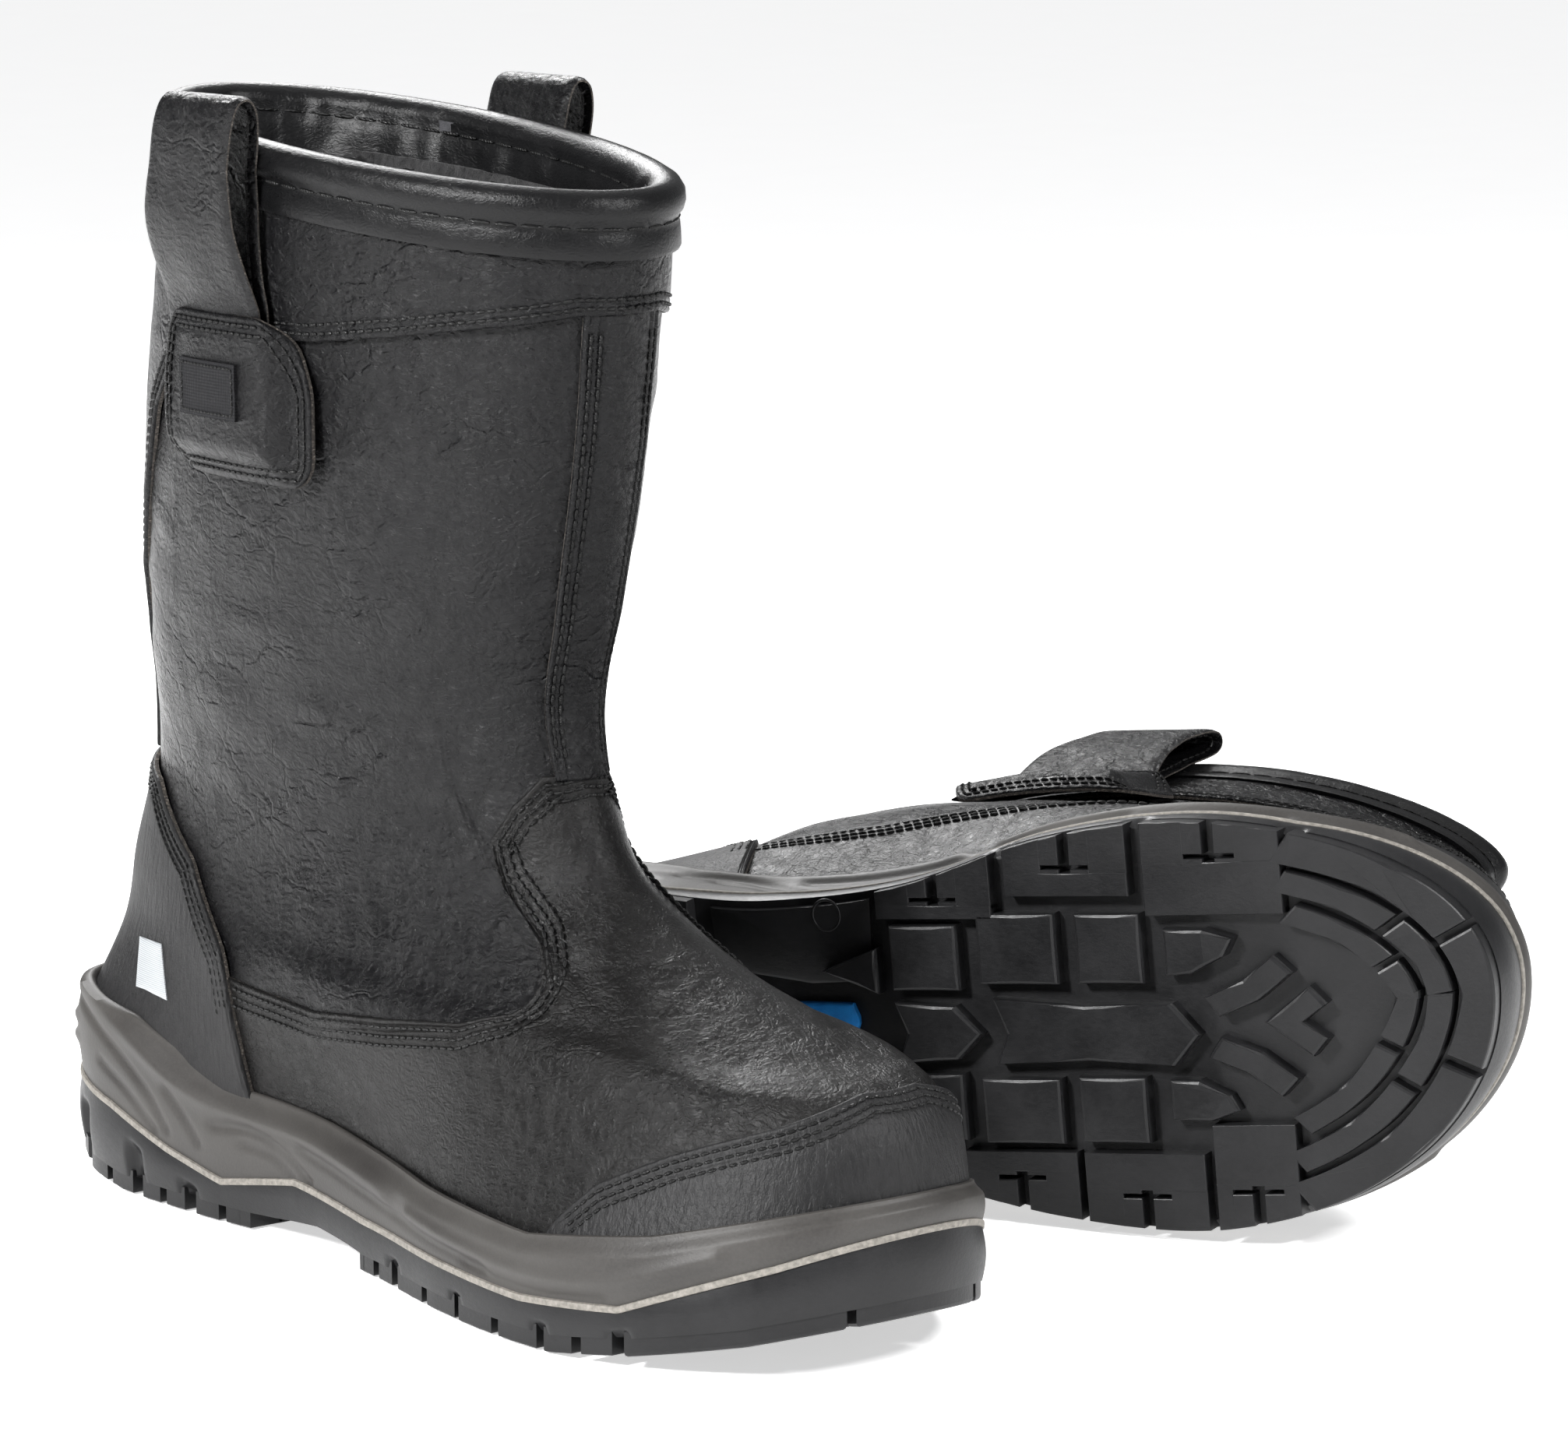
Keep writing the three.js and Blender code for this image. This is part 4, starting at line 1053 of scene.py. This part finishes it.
def edge_lug(y0, y1, x, outer):
    """Blocks of one lug between a straight inner side and the sole's edge. Halfway along it a wide slot runs in from
    the edge, and a narrow one crosses it along the boot."""
    slot, sipe, reach, overlap = 1.5, 0.55, 6.5, 0.6
    centre = (y0 + y1) / 2
    side = 1 if outer else -1
    heart = float(edge_x(centre, outer, 0.25))
    cut = heart - side * min(8.5, 0.55 * abs(heart - x))  # where the narrow slot runs
    blocks = []

    def block(xa, a, b, xb=None):
        ys = np.linspace(a, b, 5)
        far = edge_x(ys, outer, 0.25) if xb is None else np.full(5, xb)
        blocks.append([(xa, a), (xa, b)] + list(zip(far[::-1], ys[::-1])))

    block(x, y0, y1, cut - side * (sipe + 0.9))
    near, far = cut - side * (sipe + 1.75), cut + side * sipe
    block(near, y0, centre - reach)
    for a, b in ((centre - reach - overlap, centre - slot), (centre + slot, centre + reach + overlap)):
        block(near, a, b, cut - side * sipe)
        block(far, a, b)
    block(near, centre + reach, y1)
    return blocks


def gather(pieces):
    """Points and faces of several meshes as one list of each."""
    points, faces = [], []
    for some, these in pieces:
        start = sum(len(p) for p in points)
        points.append(some)
        faces += [tuple(start + v for v in f) for f in these]
    return np.concatenate(points), faces


def arc_ridge(first, last, low, high):
    """Outline of an arc that runs parallel to the sole's edge between two insets."""
    turns = np.linspace(first, last, 30)
    a, b = np.stack(sole_edge(turns, low), -1), np.stack(sole_edge(turns, high), -1)
    return [tuple(p) for p in a] + [tuple(p) for p in b[::-1]]


def outsole(boot):
    """Rubber base with its wall, and every lug of the tread."""
    s = boot.side
    turns = np.linspace(0, 360, 720, endpoint=False)
    y = sole_edge(turns)[1]
    top = np.interp(y, *PARTING) + 0.4
    low = under(y) - 0.2
    away = outward(turns)
    slot = np.zeros_like(y)
    for gaps, side in ((OUTER_GAPS, turns <= 180), (INNER_GAPS, turns > 180)):
        for a, b in gaps:
            if b - a < 6:
                slot = np.maximum(slot, side * np.exp(-(((y - (a + b) / 2) / (0.42 * (b - a) + 1.1)) ** 4)))
    rings = []
    for share in np.linspace(0, 1, 22):
        z = top + (low - top) * share
        bulge = 0.9 * np.sin(math.pi * share) * step(top - low, 3, 12)
        reach = np.clip((top - z) / 3.5 - 1.1, 0, 1) * slot * 2.6
        rings.append(wall(turns, 0.0, z) + away * (bulge - reach)[:, None])
    for share in (0.97, 0.9, 0.75, 0.6, 0.45, 0.3, 0.15, 0.0):
        x, yy = sole_edge(turns, 0.3)
        middle = (edge_x(yy, True, 0.3) + edge_x(yy, False, 0.3)) / 2
        rings.append(np.stack([middle + (x - middle) * share, yy, under(yy)], -1))
    count, size = len(rings), len(turns)
    points = np.concatenate(rings)
    faces = grid_faces(count, size, closed_columns=True)
    x, yy = sole_edge(turns, 0.3)
    half = size // 2
    faces += [(k, (k + 1) % size, (size - k - 1) % size, (size - k) % size) for k in range(half)]
    obj = make(boot, f"{s}_outsole_base", points, faces, RUBBER)
    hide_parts(f"{s}_outsole")

    edge = []
    for lugs, outer in ((OUTER_LUGS, True), (INNER_LUGS, False)):
        for y0, y1, x in lugs:
            # neighbouring blocks overlap, each a hair lower than the last so that no two faces coincide
            edge += [slab(block, 0.02 * k, 0.35) for k, block in enumerate(edge_lug(y0, y1, x, outer))]
    make(boot, f"{s}_edge_lugs", *gather(edge), RUBBER, flat=True)
    free = [slab(densify(outline), 0, 1.1) for outline in LUGS]
    make(boot, f"{s}_centre_lugs", *gather(free), RUBBER, flat=True)
    arcs = [slab(arc_ridge(a, b, near, far), 0) for near, far, runs in ARCS for a, b in runs]
    make(boot, f"{s}_toe_and_heel_lugs", *gather(arcs), RUBBER, flat=True)
    waist(boot)


def waist(boot):
    """The smooth waist: shield pad with a ring, and the plain blue bar along the middle."""
    s = boot.side
    ys = np.linspace(101, 147, 12)
    outline = list(zip(edge_x(ys, False, 2.0), ys)) + [(-12, 146), (-11, 128), (-14, 110), (-20, 102)]
    top = [(x, y, float(under(y)) + 1.0) for x, y in outline]
    low = [(x, y, float(under(y)) - 1.4) for x, y in outline]
    middle = np.mean(outline, 0)
    shrunk = [(np.array(place) + (middle - place) * 0.06, place[1]) for place in outline]
    inset = [(*place, float(under(y)) - 1.9) for place, y in shrunk]
    n = len(outline)
    faces = grid_faces(3, n, closed_columns=True)
    faces += [tuple(range(n)), tuple(reversed(range(2 * n, 3 * n)))]
    make(boot, f"{s}_waist_shield", top + low + inset, faces, RUBBER)
    turn = np.linspace(0, 2 * math.pi, 40, endpoint=False)
    rings = []
    for w in np.linspace(0, 2 * math.pi, 8, endpoint=False):
        x, y = -29 + (4 + 0.4 * math.cos(w)) * np.cos(turn), 134 + (4 + 0.4 * math.cos(w)) * np.sin(turn)
        rings.append(np.stack([x, y, under(y) - 1.75 + 0.4 * math.sin(w)], -1))
    sweep(boot, f"{s}_waist_ring", np.stack(rings, 1), RUBBER)
    bar = ([107, 126, 141], [4.2, 5.9, 4.7])  # y and height of its upper face
    first, last = bar[0][0], bar[0][-1]
    ys = np.linspace(first, last, 24)
    upper_z = np.interp(ys, *bar) + 0.6
    lower_z = upper_z - 1.8
    rings = []
    for y, up, down in zip(ys, upper_z, lower_z):
        end = min(y - first, last - y)
        half = 4.5 * math.sqrt(max(1 - max(1 - end / 2.0, 0) ** 2, 0.04))
        profile = [(-1, up), (1, up), (1, down + 0.5), (0.9, down + 0.12), (0.78, down), (-0.78, down),
                   (-0.9, down + 0.12), (-1, down + 0.5)]
        rings.append([(-1.5 + half * f, y, z) for f, z in profile])
    obj = sweep(boot, f"{s}_waist_bar_insert", rings, BLUE, closed=False)
    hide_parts(f"{s}_waist_bar")


def hidden_parts(boot):
    """CAD parts inside the boot keep their shape and get their real materials."""
    finishes = {"penetration_plate": STEEL, "toe_cap": STEEL, "insole_board": BOARD, "heel_stiffener": BOARD,
                "footbed": FOAM, "shaft_padding": FOAM}
    for part, material in finishes.items():
        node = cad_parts[f"{boot.side}_{part}"]
        for place in node.material_slots:
            place.material = material


for side in ("right", "left"):
    boot = Boot(side)
    upper(boot)
    binding(boot)
    lining(boot)
    strap(boot, "outer", 1, PRESSED if boot.fallen else LOOP)
    strap(boot, "inner", -1, LOOP)
    patch(boot, "outer", 1)
    patch(boot, "inner", -1)
    heel_mark(boot)
    midsole(boot)
    outsole(boot)
    hidden_parts(boot)


# ---------------------------------------------------------------- stage, light and camera
def stage():
    """A plain pale floor and soft studio light."""
    mesh = bpy.data.meshes.new("studio_floor")
    reach = 14.0
    corners = [(-reach, -reach, 0), (reach, -reach, 0), (reach, reach, 0), (-reach, reach, 0)]
    mesh.from_pydata(corners, [], [(0, 1, 2, 3)])
    floor = bpy.data.objects.new("studio_floor", mesh)
    floor.location.z = -0.0004
    bpy.context.scene.collection.objects.link(floor)
    mesh.materials.append(plain("pale_floor", (0.93, 0.93, 0.93), (0.96, 0.96, 0.96), 0.8, 60, 0.01,
                                Emission_Color=(1, 1, 1, 1), Emission_Strength=0.58))
    world = bpy.data.worlds.new("studio")
    bpy.context.scene.world = world
    world.use_nodes = True
    world.node_tree.nodes["Background"].inputs["Color"].default_value = (0.97, 0.98, 1.0, 1)
    world.node_tree.nodes["Background"].inputs["Strength"].default_value = 0.20
    bpy.context.scene.view_settings.view_transform = "Standard"
    sun = bpy.data.lights.new("overhead", "SUN")
    sun.energy, sun.angle = 0.45, math.radians(50)
    over = bpy.data.objects.new("overhead", sun)
    over.rotation_euler = (math.radians(12), math.radians(-14), 0)
    bpy.context.scene.collection.objects.link(over)
    lamps = [("key", (1.75, 0.05, 1.15), 0.3, 56), ("side", (-0.25, 1.55, 1.25), 0.3, 30),
             ("rim", (-0.6, -1.5, 1.2), 0.6, 22)]
    for name, at, size, power in lamps:
        light = bpy.data.lights.new(name, "AREA")
        light.energy, light.size = power, size
        lamp = bpy.data.objects.new(name, light)
        lamp.location = at
        lamp.rotation_euler = (Vector((0, 0, 0.12)) - Vector(at)).to_track_quat("-Z", "Y").to_euler()
        bpy.context.scene.collection.objects.link(lamp)


CAMERA_AT = np.array([949.07, 1405.81, 397.94])  # boot millimetres
CAMERA_YAW, CAMERA_PITCH, CAMERA_ROLL = -2.25867, -0.16487, -0.0057
SENSOR, LENS = 36.0, 147.616


def camera():
    """A long lens at the height of the boots' tops, looking slightly down."""
    data = bpy.data.cameras.new("camera")
    data.sensor_width = SENSOR
    data.lens = LENS
    data.shift_x, data.shift_y = 0.0280, -0.0056
    data.clip_end = 20
    cam = bpy.data.objects.new("camera", data)
    level = math.cos(CAMERA_PITCH)
    forward = Vector((level * math.cos(CAMERA_YAW), level * math.sin(CAMERA_YAW), math.sin(CAMERA_PITCH)))
    right = forward.cross(Vector((0, 0, 1))).normalized()
    up = right.cross(forward)
    turned_right = right * math.cos(CAMERA_ROLL) + up * math.sin(CAMERA_ROLL)
    turned_up = turned_right.cross(forward)
    cam.matrix_world = Matrix.Translation(Vector((CAMERA_AT + SHIFT) / 1000)) @ Matrix(
        (turned_right, turned_up, -forward)).transposed().to_4x4()
    bpy.context.scene.collection.objects.link(cam)
    bpy.context.scene.camera = cam


stage()
camera()
